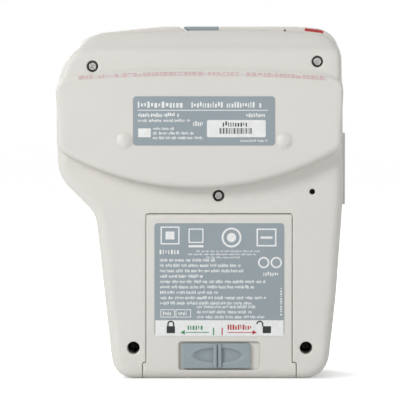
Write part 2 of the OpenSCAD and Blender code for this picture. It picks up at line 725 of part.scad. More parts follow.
module cam_gear() color([0.85, 0.82, 0.7]) difference() {
  union() {
    gear(cam_teeth, 0, 24.6, cam_y, 3.4);
    x_rod(23.6, 29, 4, cam_y, cam_z);
  }
  x_rod(20, 30, shaft_r, cam_y, cam_z);
  // ring of lightening holes
  for (a = [30:60:330]) x_rod(20, 30, 1.6, cam_y + 7.2 * cos(a), cam_z + 7.2 * sin(a));
}
module motor_pinion() color([0.72, 0.7, 0.6]) union() {
  gear(pin_teeth, 180 / pin_teeth, 24.8, motor_y, 3);
  x_rod(12, 29, 1.0, motor_y, cam_z);
}
module pump_motor() color([0.6, 0.61, 0.63]) difference() {
  union() {
    x_rod(-19.6, 19.9, 8, motor_y, cam_z);
    x_rod(19.8, 22.4, 2.9, motor_y, cam_z);
    x_rod(-21, -19.5, 3, motor_y, cam_z);
  }
  x_rod(11, 23, 1.05, motor_y, cam_z);
}
module encoder_disc() color([0.15, 0.15, 0.16]) difference() {
  union() {
    x_rod(-28.3, -27.5, 9, cam_y, cam_z);
    x_rod(-29.4, -25, 4, cam_y, cam_z);
  }
  x_rod(-31, -24, shaft_r, cam_y, cam_z);
  for (a = [0:30:330])
    translate([0, cam_y, cam_z]) rotate([a, 0, 0]) box(-29, -27, 6.4, 8.2, -0.9, 0.9);
}
// fork round the disc's rim, on a foot against the left cheek; rows [left, right, front]
module encoder_sensor() color([0.1, 0.1, 0.11]) union() {
  for (b = [[-30.6, -29.1, 3.4], [-26.6, -25, 3.4], [-30.6, -23.05, 7.2], [-25, -23.05, 5.9]])
    box(b[0], b[1], b[2], 9.4, cam_z - 3, cam_z + 3);
}
module sensor(x) {
  y_rod(-20.1, -15.5, 2.65, x, cam_z);
  y_rod(-16.95, -13.6, 4.2, x, cam_z);
}
module inlet_sensor() color(sensor_silver) union() sensor(inlet_x);
module outlet_sensor() color(sensor_silver) union() sensor(outlet_x);
module air_detector() color([0.16, 0.17, 0.2]) difference() {
  union() {
    box(-43, -37, -23.6, -16.2, cam_z - 3.3, cam_z + 3.3);
    box(-42.9, -35.5, -16.95, -14.2, cam_z - 4.6, cam_z + 4.6);
  }
  // tube channel
  box(-44, -36, -25, -20.05, cam_z - 2.3, cam_z + 2.3);
}

// ---- electronics ----
module main_board() color([0.1, 0.35, 0.2]) difference() {
  part_y = board_back - 0.1;             // parts sink a little into the board
  union() {
    prism([[-40.6, 6], [27.3, 6], [30.5, 54], [33.5, 59.5], [43.3, 71], [43.3, 84.6],
           [-45.5, 84.6], [-45, 55]], board_front, board_back);
    // chips and connectors on the back, above the battery tray
    box(-30, -16, part_y, -10.9, 66, 80);
    box(-10, 2, part_y, -11.2, 68, 78);
    box(8, 14, part_y, -8.4, 64, 76);
    box(20, 34, part_y, -9.8, 74, 80);
    y_rod(part_y, -6, 3.2, 26, 66);
    box(-44, -38, part_y, -8, 62, 80);
    // lamps behind the light lenses and snap domes behind the keys
    for (z = light_z) box(light_x - 1.2, light_x + 1.2, -15, -14.1, z - 1.2, z + 1.2);
    for (c = [0:3], r = [0:2]) y_rod(-14.5, -14.1, 3, key_x(c), key_z(r));
  }
  y_rods(concat([screw_mid], screws_low), -20, 0, 3.5);
}
module display_module() color([0.3, 0.33, 0.34]) difference() {
  box(-37.5, 25.5, -16.7, -14.3, 60.2, 85);
  y_rods([screw_mid], -20, 0, 3.5);
}
module display_window() color([0.25, 0.3, 0.28])
  window_pad(0, 2.1, front_y - 0.05, front_y + 1.45);
module status_lights() color([0.5, 0.8, 0.5]) for (z = light_z) union() {
  y_rod(front_y - 0.3, -15.1, 1.55, light_x, z);
  y_rod(-16.75, -15.1, 2.2, light_x, z);
}
// columns count from the left, rows from the bottom
module key(column, row) union() {
  key_pad(column, row, 0, 2, front_y - key_out, -16);
  // flange behind the front wall, and the stem
  key_pad(column, row, 0.9, 2.4, -16.75, -15.9);
  y_rod(-16, -15.15, 1.6, key_x(column), key_z(row));
}
module key_1() color(key_grey) key(0, 2);
module key_2() color(key_grey) key(1, 2);
module key_3() color(key_grey) key(2, 2);
module key_4() color([0.3, 0.6, 0.35]) key(3, 2);
module key_5() color(key_grey) key(0, 1);
module key_6() color(key_grey) key(1, 1);
module key_7() color(key_grey) key(2, 1);
module key_8() color([0.7, 0.25, 0.2]) key(3, 1);
module key_9() color(key_grey) key(0, 0);
module key_10() color(key_grey) key(1, 0);
module key_11() color(key_grey) key(2, 0);
module key_12() color(key_grey) key(3, 0);

module buzzer() color(soft_black) difference() {
  y_rod(14.6, rear_y - 2.45, 6.1, buzzer_x, buzzer_z);
  y_rod(17, 30, 1.0, buzzer_x, buzzer_z);
}
module port_panel() color([0.86, 0.85, 0.82]) difference() {
  box(-50.8, -46.6, port_y - panel_half, port_y + panel_half, panel_bottom, panel_top);
  x_rod(-60, -40, dose_r + 0.02, port_y, dose_z);
  x_rod(-60, -40, power_r + 0.02, port_y, power_z);
  box(-60, -40, 3.98, 12.02, 71.98, 75.02);
}
module dose_jack() color(soft_black) difference() {
  union() {
    x_rod(port_face, -35.4, dose_r, port_y, dose_z);
    box(-46.5, -36, 4, 12, 63, 70);
  }
  x_rod(-52, -36.9, 1.8, port_y, dose_z);
}
module power_jack() color(soft_black) {
  difference() {
    union() {
      x_rod(port_face, -38, power_r, port_y, power_z);
      box(-46.5, -37, 3, 13, 76.5, 85.5);
    }
    x_rod(-52, -41, 2.8, port_y, power_z);
  }
  // centre pin
  x_rod(-49, -40.9, 0.8, port_y, power_z);
}
module data_port() color([0.6, 0.6, 0.62]) difference() {
  union() {
    box(port_face, -44, 4, 12, 72, 75);
    box(-46.5, -38.5, 3, 13, 71, 76);
  }
  box(-52, -42, 4.5, 11.5, 72.5, 74.5);
}

rear_case();
front_case();
case_gasket();
battery_tray();
battery_cell_a();
battery_cell_b();
battery_contacts();
encoder_sensor();
rating_label();
seal_tape();
case_screws();
battery_door_pin();
battery_door();
battery_label();
battery_latch();
pump_door();
platen();
latch_pin();
flow_mark();
door_latch();
door_hinge_pin();
chassis();
finger_guide();
cam_bearings();
pump_motor();
inlet_sensor();
outlet_sensor();
air_detector();
chassis_screws();
camshaft();
cam_gear();
encoder_disc();
motor_pinion();
finger_1();
finger_2();
finger_3();
finger_4();
finger_5();
finger_6();
main_board();
display_module();
display_window();
status_lights();
buzzer();
port_panel();
dose_jack();
power_jack();
data_port();
key_1();
key_2();
key_3();
key_4();
key_5();
key_6();
key_7();
key_8();
key_9();
key_10();
key_11();
key_12();
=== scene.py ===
# A hand-held pump standing upright on the floor. x runs across it and z up from its foot.
# The keypad is on the front (-y); the battery door and the labels are on the rear (+y).
# Shapes are worked out in millimetres and stored in metres.
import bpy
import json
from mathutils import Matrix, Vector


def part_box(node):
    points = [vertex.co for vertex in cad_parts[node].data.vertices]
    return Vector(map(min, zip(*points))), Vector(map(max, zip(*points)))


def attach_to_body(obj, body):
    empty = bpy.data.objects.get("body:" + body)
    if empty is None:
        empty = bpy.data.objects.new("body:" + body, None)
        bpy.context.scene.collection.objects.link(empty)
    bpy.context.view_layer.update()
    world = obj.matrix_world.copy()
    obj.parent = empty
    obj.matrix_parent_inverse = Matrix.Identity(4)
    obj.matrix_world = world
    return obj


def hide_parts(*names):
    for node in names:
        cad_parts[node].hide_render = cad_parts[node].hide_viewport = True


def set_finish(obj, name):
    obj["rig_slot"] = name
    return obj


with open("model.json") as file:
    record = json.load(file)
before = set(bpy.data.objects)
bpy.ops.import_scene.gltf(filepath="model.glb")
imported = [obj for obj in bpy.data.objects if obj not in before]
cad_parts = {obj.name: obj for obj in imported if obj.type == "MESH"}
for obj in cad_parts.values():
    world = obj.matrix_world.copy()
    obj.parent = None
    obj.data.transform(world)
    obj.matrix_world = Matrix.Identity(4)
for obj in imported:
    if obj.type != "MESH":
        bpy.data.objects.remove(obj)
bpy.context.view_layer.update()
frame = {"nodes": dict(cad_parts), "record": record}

import json
import math
import numpy as np
import bpy
import openvdb
from mathutils import Matrix, Vector

MM = 0.001

# ------------------------------------------------------------------ driving dimensions, mm
CASE_TOP = 121.9
BODY_TOP = 87.8                # top of the thick lower part of the front
REAR_Y, HOOD_Y = 21.5, 28.2    # rear face, and the face of the hood standing out from it
FRONT_Y, UPPER_FRONT_Y = -19.0, -12.6
REAR_EDGE_Y = 0.2              # open edge of the rear shell
REAR_ROUND = 3.5
WALL = 2.2
REAR_CLEAR, FRONT_CLEAR = 40, -30    # ends of cuts, past every surface

# Outlines as seen along y: x, z, corner radius
LOW_PLUS_X = [(-44.3, 0, 9), (31, 0, 8), (37.4, 58.3, 10), (50.8, 71.8, 13)]
HEAD_PLUS_X = [(50.8, 102.4, 28), (48.0, 111.7, 18)]
MINUS_X = [(-50.1, 66, 120), (-47.6, 30, 150)]
DOOR_TOP = [(39.5, 121.9, 12), (14, 124.5, 60), (-34, 124.5, 40), (-48.7, 122.8, 8)]
CASE_CROWN = [(40.7, 120.6, 10), (6, 122.5, 150), (-24, 122.6, 150), (-48.75, 120.9, 9)]
FRONT_CROWN = [(40.3, 120.1, 10), (6, 122.0, 150), (-24, 122.2, 150), (-48.75, 120.9, 9)]
DOOR_OUTLINE = LOW_PLUS_X + HEAD_PLUS_X + DOOR_TOP + MINUS_X
CASE_OUTLINE = LOW_PLUS_X + HEAD_PLUS_X + CASE_CROWN + MINUS_X
FRONT_OUTLINE = LOW_PLUS_X + HEAD_PLUS_X + FRONT_CROWN + MINUS_X
LOWER_OUTLINE = LOW_PLUS_X + [(50.8, BODY_TOP, 5), (-49.6, BODY_TOP, 5)] + MINUS_X
HOOD_OUTLINE = [(0, 53.3, 97.2), (50.8, 81, 4), (50.8, 104.3, 5), (43, 106.9, 30),
                (1, 109.4, 400), (-43, 107.1, 22), (-49.4, 104.6, 4), (-49.6, 81.7, 4)]
HEAD_SLOPE = [(13.8, 124), (HOOD_Y - 2.2, 116.3)]    # y, z line of the sloping top

# Battery door
DOOR_X0, DOOR_X1 = -31.9, 19.5
DOOR_HEIGHT, DOOR_THICK = 58.2, 2.6
DOOR_GAP = 0.16
DOOR_INNER_Y = REAR_Y - DOOR_THICK
FOOT_X0, FOOT_X1 = DOOR_X0 - 1.5, DOOR_X1 + 1.2      # the wider foot of the door
PIN_Y, PIN_Z = REAR_Y - DOOR_THICK / 2, DOOR_HEIGHT - DOOR_THICK / 2
PIN_HOLE_R = 0.66

# Screw places, x, z
TOP_SCREWS = [(38.2, 110.1), (-40.6, 111.8)]
MID_SCREW = (-6.0, 64.6)
LOW_SCREWS = [(24.0, 10.9), (-36.9, 10.9)]
ALL_SCREWS = TOP_SCREWS + [MID_SCREW] + LOW_SCREWS
CHASSIS_SCREWS = [(-44.1, 95.5), (-33.5, 115.6), (13.0, 115.6)]
# screws, post radius, post end y, head well radius, head seat y, shank hole end y
REAR_POSTS = [
    (TOP_SCREWS, 3.2, 25.0, 2.0, 24, 25),
    ([MID_SCREW], 3.2, REAR_Y - 1, 2.05, 17.6, 19),
    (LOW_SCREWS, 3.1, REAR_Y - 1, 2.2, 6, 8),
]

LED_X, LED_Z = 41.5, [82.0, 76.5, 71.0]
KEYPAD_X, KEY_BOTTOM_Z = -6.2, 19
KEY_PITCH_X, KEY_PITCH_Z = 15, 14
KEYS = [(KEYPAD_X + (column - 1.5) * KEY_PITCH_X, KEY_BOTTOM_Z + row * KEY_PITCH_Z)
        for row in (2, 1, 0) for column in range(4)]
SIDE_NOTCH = (-60, -46, 0.9, 15.1, 61.3, 86.7, 1.0)  # opening in the -x side, as Grid.box
DISC_X, DISC_Z = -39.05, 66                          # small round recess on the rear
HINGE = (47.1, -14.0)          # pump door hinge axis, x, y
LEVER = (-22.5, 119.6)         # door latch axis, y, z
LEVER_X0, LEVER_X1 = -5.7, 3.9
PIVOT_HOLE_R = 1.07


# ------------------------------------------------------------------ signed distance fields
def outline(corners, steps=14):
    """Round each corner (x, z, radius) of a closed outline with an arc of equal steps."""
    points = []
    count = len(corners)
    for i in range(count):
        before, here, after = (np.array(corners[(i + k) % count][:2], float)
                               for k in (-1, 0, 1))
        into = (here - before) / np.linalg.norm(here - before)
        away = (after - here) / np.linalg.norm(after - here)
        normal = np.array([-into[1], into[0]])
        next_normal = np.array([-away[1], away[0]])
        cross = normal[0] * next_normal[1] - normal[1] * next_normal[0]
        dot = float(normal @ next_normal)
        sign = 1 if cross >= 0 else -1
        radius = corners[i][2]
        centre = here + sign * radius * (normal + next_normal) / (1 + dot)
        turn = math.atan2(cross, dot)
        for j in range(steps + 1):
            t = turn * j / steps
            spoke = np.array([normal[0] * math.cos(t) - normal[1] * math.sin(t),
                              normal[0] * math.sin(t) + normal[1] * math.cos(t)])
            points.append(centre - sign * radius * spoke)
    return np.array(points)


def polygon_distance(X, Y, polygon):
    """Signed distance to a closed polygon, negative inside."""
    polygon = np.asarray(polygon, float)
    nearest = np.full(X.shape, 1e9, np.float32)
    inside = np.zeros(X.shape, bool)
    for i in range(len(polygon)):
        ax, ay = polygon[i]
        bx, by = polygon[(i + 1) % len(polygon)]
        ex, ey = bx - ax, by - ay
        length2 = ex * ex + ey * ey
        if length2 < 1e-12:
            continue
        wx, wy = X - ax, Y - ay
        t = np.clip((wx * ex + wy * ey) / length2, 0, 1)
        nearest = np.minimum(nearest, (wx - t * ex) ** 2 + (wy - t * ey) ** 2)
        if ey != 0:
            crosses = ((ay <= Y) & (by > Y)) | ((by <= Y) & (ay > Y))
            inside ^= crosses & (X < ax + (Y - ay) / ey * ex)
    distance = np.sqrt(nearest)
    return np.where(inside, -distance, distance).astype(np.float32)


def round_join(a, b, r):
    """Intersection of two fields already grown by r, with the shared edge rounded by r."""
    outside = np.sqrt(np.maximum(a, 0) ** 2 + np.maximum(b, 0) ** 2)
    return outside + np.minimum(np.maximum(a, b), 0) - r


class Grid:
    """A box of samples from low to high (mm) with a spacing, and the shapes drawn on it."""

    def __init__(self, low, high, spacing):
        self.spacing = spacing
        self.low = np.array(low, float) - 3 * spacing
        self.counts = [int(math.ceil((high[k] + 3 * spacing - self.low[k]) / spacing)) + 1
                       for k in range(3)]
        axes = [self.low[k] + spacing * np.arange(self.counts[k]) for k in range(3)]
        self.x = axes[0].astype(np.float32)[:, None, None]
        self.y = axes[1].astype(np.float32)[None, :, None]
        self.z = axes[2].astype(np.float32)[None, None, :]

    def plane(self, polygon):
        """Distance to an x, z polygon."""
        X, Z = np.meshgrid(self.x[:, 0, 0], self.z[0, 0, :], indexing="ij")
        return polygon_distance(X, Z, polygon)[:, None, :]

    def side(self, polygon):
        """Distance to a y, z polygon."""
        Y, Z = np.meshgrid(self.y[0, :, 0], self.z[0, 0, :], indexing="ij")
        return polygon_distance(Y, Z, polygon)[None, :, :]

    def line(self, p, q):
        """Distance from the y, z line p to q, positive on its left."""
        d = np.array([q[0] - p[0], q[1] - p[1]], float)
        d /= np.linalg.norm(d)
        return (self.y - p[0]) * -d[1] + (self.z - p[1]) * d[0]

    def rod(self, axis, a, b, r, low, high):
        """Cylinder along axis from low to high; a, b are its other two coordinates."""
        if axis == "y":
            d, t = np.sqrt((self.x - a) ** 2 + (self.z - b) ** 2) - r, self.y
        elif axis == "x":
            d, t = np.sqrt((self.y - a) ** 2 + (self.z - b) ** 2) - r, self.x
        else:
            d, t = np.sqrt((self.x - a) ** 2 + (self.y - b) ** 2) - r, self.z
        return np.maximum(np.maximum(d, low - t), t - high)

    def sphere(self, x, y, z, r):
        return np.sqrt((self.x - x) ** 2 + (self.y - y) ** 2 + (self.z - z) ** 2) - r

    def box(self, x0, x1, y0, y1, z0, z1, r):
        """Box with every edge rounded by r."""
        qx = np.abs(self.x - (x0 + x1) / 2) - (x1 - x0) / 2 + r
        qy = np.abs(self.y - (y0 + y1) / 2) - (y1 - y0) / 2 + r
        qz = np.abs(self.z - (z0 + z1) / 2) - (z1 - z0) / 2 + r
        out = np.sqrt(np.maximum(qx, 0) ** 2 + np.maximum(qy, 0) ** 2 + np.maximum(qz, 0) ** 2)
        return out + np.minimum(np.maximum(np.maximum(qx, qy), qz), 0) - r

    def slab(self, plan, y0, y1, r0, r1):
        """Extrude a plane field from y0 to y1, its edges rounded by r0 at y0 and r1 at y1."""
        middle = (y0 + y1) / 2
        out = np.zeros(np.broadcast_shapes(plan.shape, self.y.shape), np.float32)
        for r, low_half in ((r0, True), (r1, False)):
            half = self.y[0, :, 0] <= middle
            if not low_half:
                half = ~half
            y = self.y[:, half, :]
            depth = (y0 - y) if low_half else (y - y1)
            if r > 0:
                out[:, half, :] = round_join(plan + r, depth + r, r)
            else:
                out[:, half, :] = np.maximum(plan, depth)
        return out

    def plate(self, x0, x1, z0, z1, r, y0, y1, edge=0.0):
        """Plate across y with corners rounded by r in plan, and its rims by edge."""
        qx = np.abs(self.x - (x0 + x1) / 2) - (x1 - x0) / 2 + r
        qz = np.abs(self.z - (z0 + z1) / 2) - (z1 - z0) / 2 + r
        plan = round_join(qx, qz, r)
        if edge:
            return self.slab(plan, y0, y1, edge, edge)
        return np.maximum(np.maximum(plan, y0 - self.y), self.y - y1)


def blend_union(a, b, k):
    """Union with a fillet about k wide."""
    h = np.clip(0.5 + 0.5 * (b - a) / k, 0, 1)
    return b + (a - b) * h - k * h * (1 - h)


def blend_common(a, b, k):
    """Intersection with an edge softened over k."""
    return -blend_union(-a, -b, k)


def carve(body, tool, k=0.0):
    """Take the tool out of the body, softening the edge over k."""
    return blend_common(body, -tool, k) if k else np.maximum(body, -tool)


# ------------------------------------------------------------------ fields to meshes
FIELD_LIMIT = 1.6              # distances are clipped to this, mm
NORMAL_STEP = 0.8              # sampling steps, in grid cells
CURVE_STEP = 1.6


def add_object(name, data):
    ob = bpy.data.objects.new(name, data)
    bpy.context.scene.collection.objects.link(ob)
    return ob


def sample(field, points):
    """Read a field between its samples, at points in grid cells."""
    points = np.clip(points, 1.0, [n - 2.001 for n in field.shape])
    i = np.floor(points).astype(int)
    f = points - i
    value = 0
    for dx in (0, 1):
        for dy in (0, 1):
            for dz in (0, 1):
                weight = ((f[:, 0] if dx else 1 - f[:, 0]) * (f[:, 1] if dy else 1 - f[:, 1])
                          * (f[:, 2] if dz else 1 - f[:, 2]))
                value = value + weight * field[i[:, 0] + dx, i[:, 1] + dy, i[:, 2] + dz]
    return value


def skin(name, grid, field, adaptivity=0.08):
    """Polygonise a field and shade it with the field's own gradient."""
    field = np.clip(np.broadcast_to(field, grid.counts), -FIELD_LIMIT, FIELD_LIMIT)
    field = np.ascontiguousarray(field.astype(np.float32))
    volume = openvdb.FloatGrid(background=FIELD_LIMIT)
    volume.copyFromArray(field)
    points, tris, quads = volume.convertToPolygons(isovalue=0.0, adaptivity=adaptivity)
    points = np.asarray(points, float)
    slopes = []
    for k in range(3):
        step = np.zeros(3)
        step[k] = NORMAL_STEP
        slopes.append(sample(field, points + step) - sample(field, points - step))
    normals = np.array(slopes).T
    normals /= np.maximum(np.linalg.norm(normals, axis=1, keepdims=True), 1e-9)
    places = (points * grid.spacing + grid.low) * MM
    faces = [tuple(int(v) for v in face[::-1]) for group in (quads, tris) for face in group]
    mesh = bpy.data.meshes.new(name)
    mesh.from_pydata([tuple(p) for p in places], [], faces)
    mesh.update()
    # make sure faces look outwards, judged on a sample of them
    agreement = 0.0
    for face in list(mesh.polygons)[:: max(1, len(mesh.polygons) // 400)]:
        agreement += float(np.dot(np.array(face.normal), normals[face.vertices[0]]))
    if agreement < 0:
        mesh.flip_normals()
    mesh.polygons.foreach_set("use_smooth", [True] * len(mesh.polygons))
    mesh.normals_split_custom_set_from_vertices([tuple(v) for v in normals])
    # curvature: positive on rubbed outer edges, negative in folds, which get painted shade and
    # grime
    curve = -6 * sample(field, points)
    for k in range(3):
        step = np.zeros(3)
        step[k] = CURVE_STEP
        curve = curve + sample(field, points + step) + sample(field, points - step)
    curve = curve / (CURVE_STEP * grid.spacing) ** 2
    wear = mesh.attributes.new("wear", "FLOAT", "POINT")
    wear.data.foreach_set("value", np.clip(curve / 2.0, -1, 1).astype(np.float32))
    return add_object(name, mesh)


def attach(ob, body, node, slot):
    """Let a mesh ride a body in place of a CAD node, with the node's material slot."""
    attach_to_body(ob, body)
    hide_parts(node)
    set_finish(ob, slot)
    return ob


# ------------------------------------------------------------------ shells
def rear_outside(grid, case, hood):
    """Rear shell as a solid: slab, hood, upper band, sloping head and two small domes."""
    slab = grid.slab(case, REAR_EDGE_Y, REAR_Y, 0.35, REAR_ROUND)
    # the hood's lower and side edges are soft, its upper edge is a crisp ridge
    t = np.clip((grid.z - 84) / 20.0, 0, 1)
    t = t * t * (3 - 2 * t)
    hood = (grid.slab(hood, 2.0, HOOD_Y, 0, 2.2) * (1 - t)
            + grid.slab(hood, 2.0, HOOD_Y, 0, 0.7) * t)
    profile = [(-3, 98), (HOOD_Y - 1.3, 98), (HOOD_Y - 1.3, 107.5),
               HEAD_SLOPE[1], HEAD_SLOPE[0], (-3, 124)]
    band = blend_common(np.maximum(case, REAR_EDGE_Y - grid.y), grid.side(profile), 2.6)
    out = blend_union(slab, hood, 0.9)
    out = blend_union(out, band, 1.7)
    out = blend_common(out, grid.line(*HEAD_SLOPE), 1.8)
    dome_r = 4.56
    for x in (27.0, -29.1):
        out = blend_union(out, grid.sphere(x, HOOD_Y + 1 - dome_r, 84.0, dome_r), 0.08)
    return out


def rear_cavity(grid, case, hood):
    inner = HOOD_Y - 3.9
    cavity = np.maximum(case + WALL, grid.y - (REAR_Y - 2.4))
    in_hood = np.maximum(hood + 2.6, np.maximum(grid.y - (HOOD_Y - 2.4), 5 - grid.y))
    in_band = np.maximum(case + WALL + 0.3, grid.side(
        [(-3, 92), (inner, 92), (inner, 106), (HOOD_Y - 4.8, 114.4), (15.4, 119.4),
         (-3, 119.4)]))
    cavity = np.minimum(np.minimum(cavity, in_hood), in_band)
    return np.maximum(cavity, grid.line(*HEAD_SLOPE) + 1.8)


def make_rear_case():
    grid = Grid((-51, 0, 0), (51.2, 29.4, 122.9), 0.34)
    case, hood = grid.plane(outline(CASE_OUTLINE)), grid.plane(outline(HOOD_OUTLINE, 24))
    body = carve(rear_outside(grid, case, hood), rear_cavity(grid, case, hood), 0.5)
    # screw posts, seats for the battery door's pin, and the wall round the small recess
    for screws, post_r, post_end, *_ in REAR_POSTS:
        for x, z in screws:
            body = blend_union(body, grid.rod("y", x, z, post_r, REAR_EDGE_Y, post_end), 0.5)
    for x0, x1 in ((DOOR_X0 - 4, DOOR_X0 - 1.5), (DOOR_X1 + 1.5, DOOR_X1 + 4)):
        seat = grid.box(x0, x1, 17.6, REAR_Y - 2, PIN_Z - 1.8, PIN_Z + 1.6, 0.3)
        body = blend_union(body, seat, 0.5)
    wall = np.maximum(grid.rod("y", DISC_X, DISC_Z, 7.2, 15, REAR_Y - 2),
                      -grid.rod("y", DISC_X, DISC_Z, 6.2, 10, REAR_Y - 2.3))
    body = blend_union(body, wall, 0.5)
    # opening for the battery door and its foot
    floor_y = DOOR_INNER_Y - 0.35
    body = carve(body, grid.plate(DOOR_X0 - DOOR_GAP, DOOR_X1 + DOOR_GAP, 2.2,
                                  DOOR_HEIGHT + DOOR_GAP, 0.9, floor_y, REAR_CLEAR), 0.16)
    body = carve(body, grid.plate(FOOT_X0 - DOOR_GAP, FOOT_X1 + DOOR_GAP, -5, 5.82, 0.5,
                                  floor_y, REAR_CLEAR), 0.16)
    body = carve(body, grid.rod("x", PIN_Y, PIN_Z, PIN_HOLE_R, DOOR_X0 - 2.5, DOOR_X1 + 2.5))
    for screws, _, _, head_r, seat_y, shank_end in REAR_POSTS:
        for x, z in screws:
            body = carve(body, grid.rod("y", x, z, head_r, seat_y, REAR_CLEAR), 0.35)
            body = carve(body, grid.rod("y", x, z, 1.35, -1, shank_end), 0.35)
    body = carve(body, grid.rod("y", DISC_X, DISC_Z, 1.0, 10, REAR_CLEAR), 0.35)
    body = carve(body, grid.box(*SIDE_NOTCH), 0.25)
    return attach(skin("rear_case_shell", grid, body), "case", "rear_case", "case_plastic")


def make_front_case():
    grid = Grid((-51, -19.1, 0), (51.2, 0.1, 122.9), 0.36)
    case = grid.plane(outline(CASE_OUTLINE))
    lower = grid.plane(outline(LOWER_OUTLINE))
    head = grid.plane(outline(FRONT_OUTLINE))
    upper_slab = blend_common(grid.slab(head, UPPER_FRONT_Y, 0, 0.6, 0.35), 70 - grid.z, 0.3)
    body = blend_union(grid.slab(lower, FRONT_Y, 0, 3.0, 0.35), upper_slab, 0.5)
    body = carve(body, np.maximum(lower + WALL, (FRONT_Y + WALL) - grid.y), 0.4)
    body = carve(body, np.maximum(case + WALL, UPPER_FRONT_Y - 0.01 - grid.y), 0.4)
    # screw posts
    for (x, z), post_r in zip([MID_SCREW] + LOW_SCREWS, (3.2, 3.1, 3.1)):
        body = blend_union(body, grid.rod("y", x, z, post_r, FRONT_Y + 1, 0), 0.5)
    for x, z in CHASSIS_SCREWS:
        post = grid.rod("y", x, z, 4.4 if z > 115 else 3.8, UPPER_FRONT_Y, -4)
        body = blend_union(body, blend_common(post, head + 0.5, 0.3), 0.4)
    # groove in the open rim
    body = carve(body, np.maximum(np.maximum(case + 0.7, -(case + 1.5)), -0.6 - grid.y))
    # display: shallow surround, then the opening
    body = carve(body, grid.plate(-36.2, 24.2, 61.3, 83.7, 2.2, FRONT_CLEAR, FRONT_Y + 1.5), 0.35)
    body = carve(body, grid.plate(-34.5, 22.5, 63, 82, 1.2, FRONT_CLEAR, -10), 0.25)
    half_x, half_z = 6.35, 5.05
    for x, z in KEYS:
        body = carve(body, grid.plate(x - half_x, x + half_x, z - half_z, z + half_z, 2.15,
                                      FRONT_CLEAR, -10), 0.35)
    # shallow moulded panel line round the keypad
    line_y = FRONT_Y + 0.35
    pad = grid.plate(-38.5, 26.1, 7.2, 57.6, 5.0, FRONT_CLEAR, line_y)
    body = carve(body, np.maximum(np.abs(pad) - 0.22, grid.y - line_y), 0.25)
    for z in LED_Z:
        body = carve(body, grid.rod("y", LED_X, z, 1.62, FRONT_CLEAR, -10), 0.3)
    for x, z in [MID_SCREW] + LOW_SCREWS:
        body = carve(body, grid.rod("y", x, z, 1.25, -7, 1))
    for x, z in CHASSIS_SCREWS:
        body = carve(body, grid.rod("y", x, z, 1.05, -13, -6))
    # room for the door hinge and for the latch
    body = carve(body, np.maximum(grid.rod("z", *HINGE, 5.6, 88, 130), 43.2 - grid.x), 0.4)
    body = carve(body, grid.box(-9.4, 4.8, -14, 0.6, 116.5, 126, 0.0), 0.4)
    body = carve(body, grid.box(*SIDE_NOTCH), 0.25)
    return attach(skin("front_case_shell", grid, body), "case", "front_case", "case_plastic")


def make_pump_door():
    grid = Grid((-50.5, -29.3, 88), (51.2, 2.1, 124.7), 0.34)
    door = grid.plane(outline(DOOR_OUTLINE, 18))
    body = blend_common(grid.slab(door, -29.2, -13, 5.0, 0.5), 88.2 - grid.z, 1.6)
    # strip running back over the top of the case
    strip = blend_common(grid.slab(door, -14.5, 2.0, 0, 0.7),
                         0.3 - grid.plane(outline(CASE_OUTLINE)), 0.2)
    body = blend_union(body, np.maximum(strip, 114.5 - grid.z), 0.3)
    inner = np.maximum(np.maximum(door + 2.8, -26.4 - grid.y),
                       np.maximum(90.5 - grid.z, grid.y - -12.9))
    body = carve(body, inner, 0.8)
    # two hinge knuckles, z from and to
    knuckle_r = 2.9
    for z0, z1 in ((90.4, 94.8), (105.6, 109.5)):
        body = blend_union(body, grid.rod("z", *HINGE, knuckle_r, z0, z1), 0.3)
        body = blend_union(body, grid.box(HINGE[0], 48.6, HINGE[1] - knuckle_r, HINGE[1] + 1,
                                          z0, z1, 0.2), 0.3)
    # cheeks either side of the latch, x from and to
    for x0, x1 in ((-9.7, -6.0), (4.2, 7.9)):
        body = blend_union(body, grid.box(x0, x1, -27, LEVER[0] + 2.1, LEVER[1] - 3.2, 122.4,
                                          0.3), 0.4)
    for x in (-17, 0, 17):     # ribs on the inner face
        body = blend_union(body, grid.box(x - 0.8, x + 0.8, -27, -26.2, 95, 113, 0.2), 0.3)
    body = carve(body, grid.rod("z", *HINGE, PIVOT_HOLE_R, 80, 110))
    body = carve(body, grid.rod("z", *HINGE, 2.45, 94.8, 105.6))
    body = carve(body, grid.rod("x", *LEVER, PIVOT_HOLE_R, -9, 7.2))
    # slot for the latch, widening upwards on the +x side
    body = carve(body, grid.box(-6.0, 4.2, -26.2, -19.9, 110, 130, 0.0), 0.5)
    slot = grid.plane([(-6.5, 110), (4.7, 110), (4.7, 122.5), (10.5, 126), (-6.5, 126)])
    body = carve(body, np.maximum(slot, np.maximum(-20 - grid.y, grid.y - 3)), 0.2)
    slot = grid.plane([(-6.7, 122.4), (5.0, 122.4), (10.6, 126), (-6.7, 126)])
    body = carve(body, np.maximum(slot, np.maximum(-27.5 - grid.y, grid.y + 19)), 0.2)
    body = carve(body, grid.box(-30.1, -29.5, -2, 3, 122, 123.4, 0.0), 0.1)
    body = carve(body, grid.rod("x", *LEVER, 5.1, -6.0, 4.2), 0.3)
    for x0, x1 in ((-60, -45), (45, 60)):    # side notches
        body = carve(body, grid.box(x0, x1, -24.6, -12, 104 - 2.3, 104 + 2.3, 0.8), 0.5)
    # soft finger groove along the foot of the door
    body = carve(body, grid.rod("x", -30.6, 93.2, 2.1, -34, 34), 0.9)
    return attach(skin("pump_door_shell", grid, body),
                  "pump_door_body", "pump_door", "case_plastic")


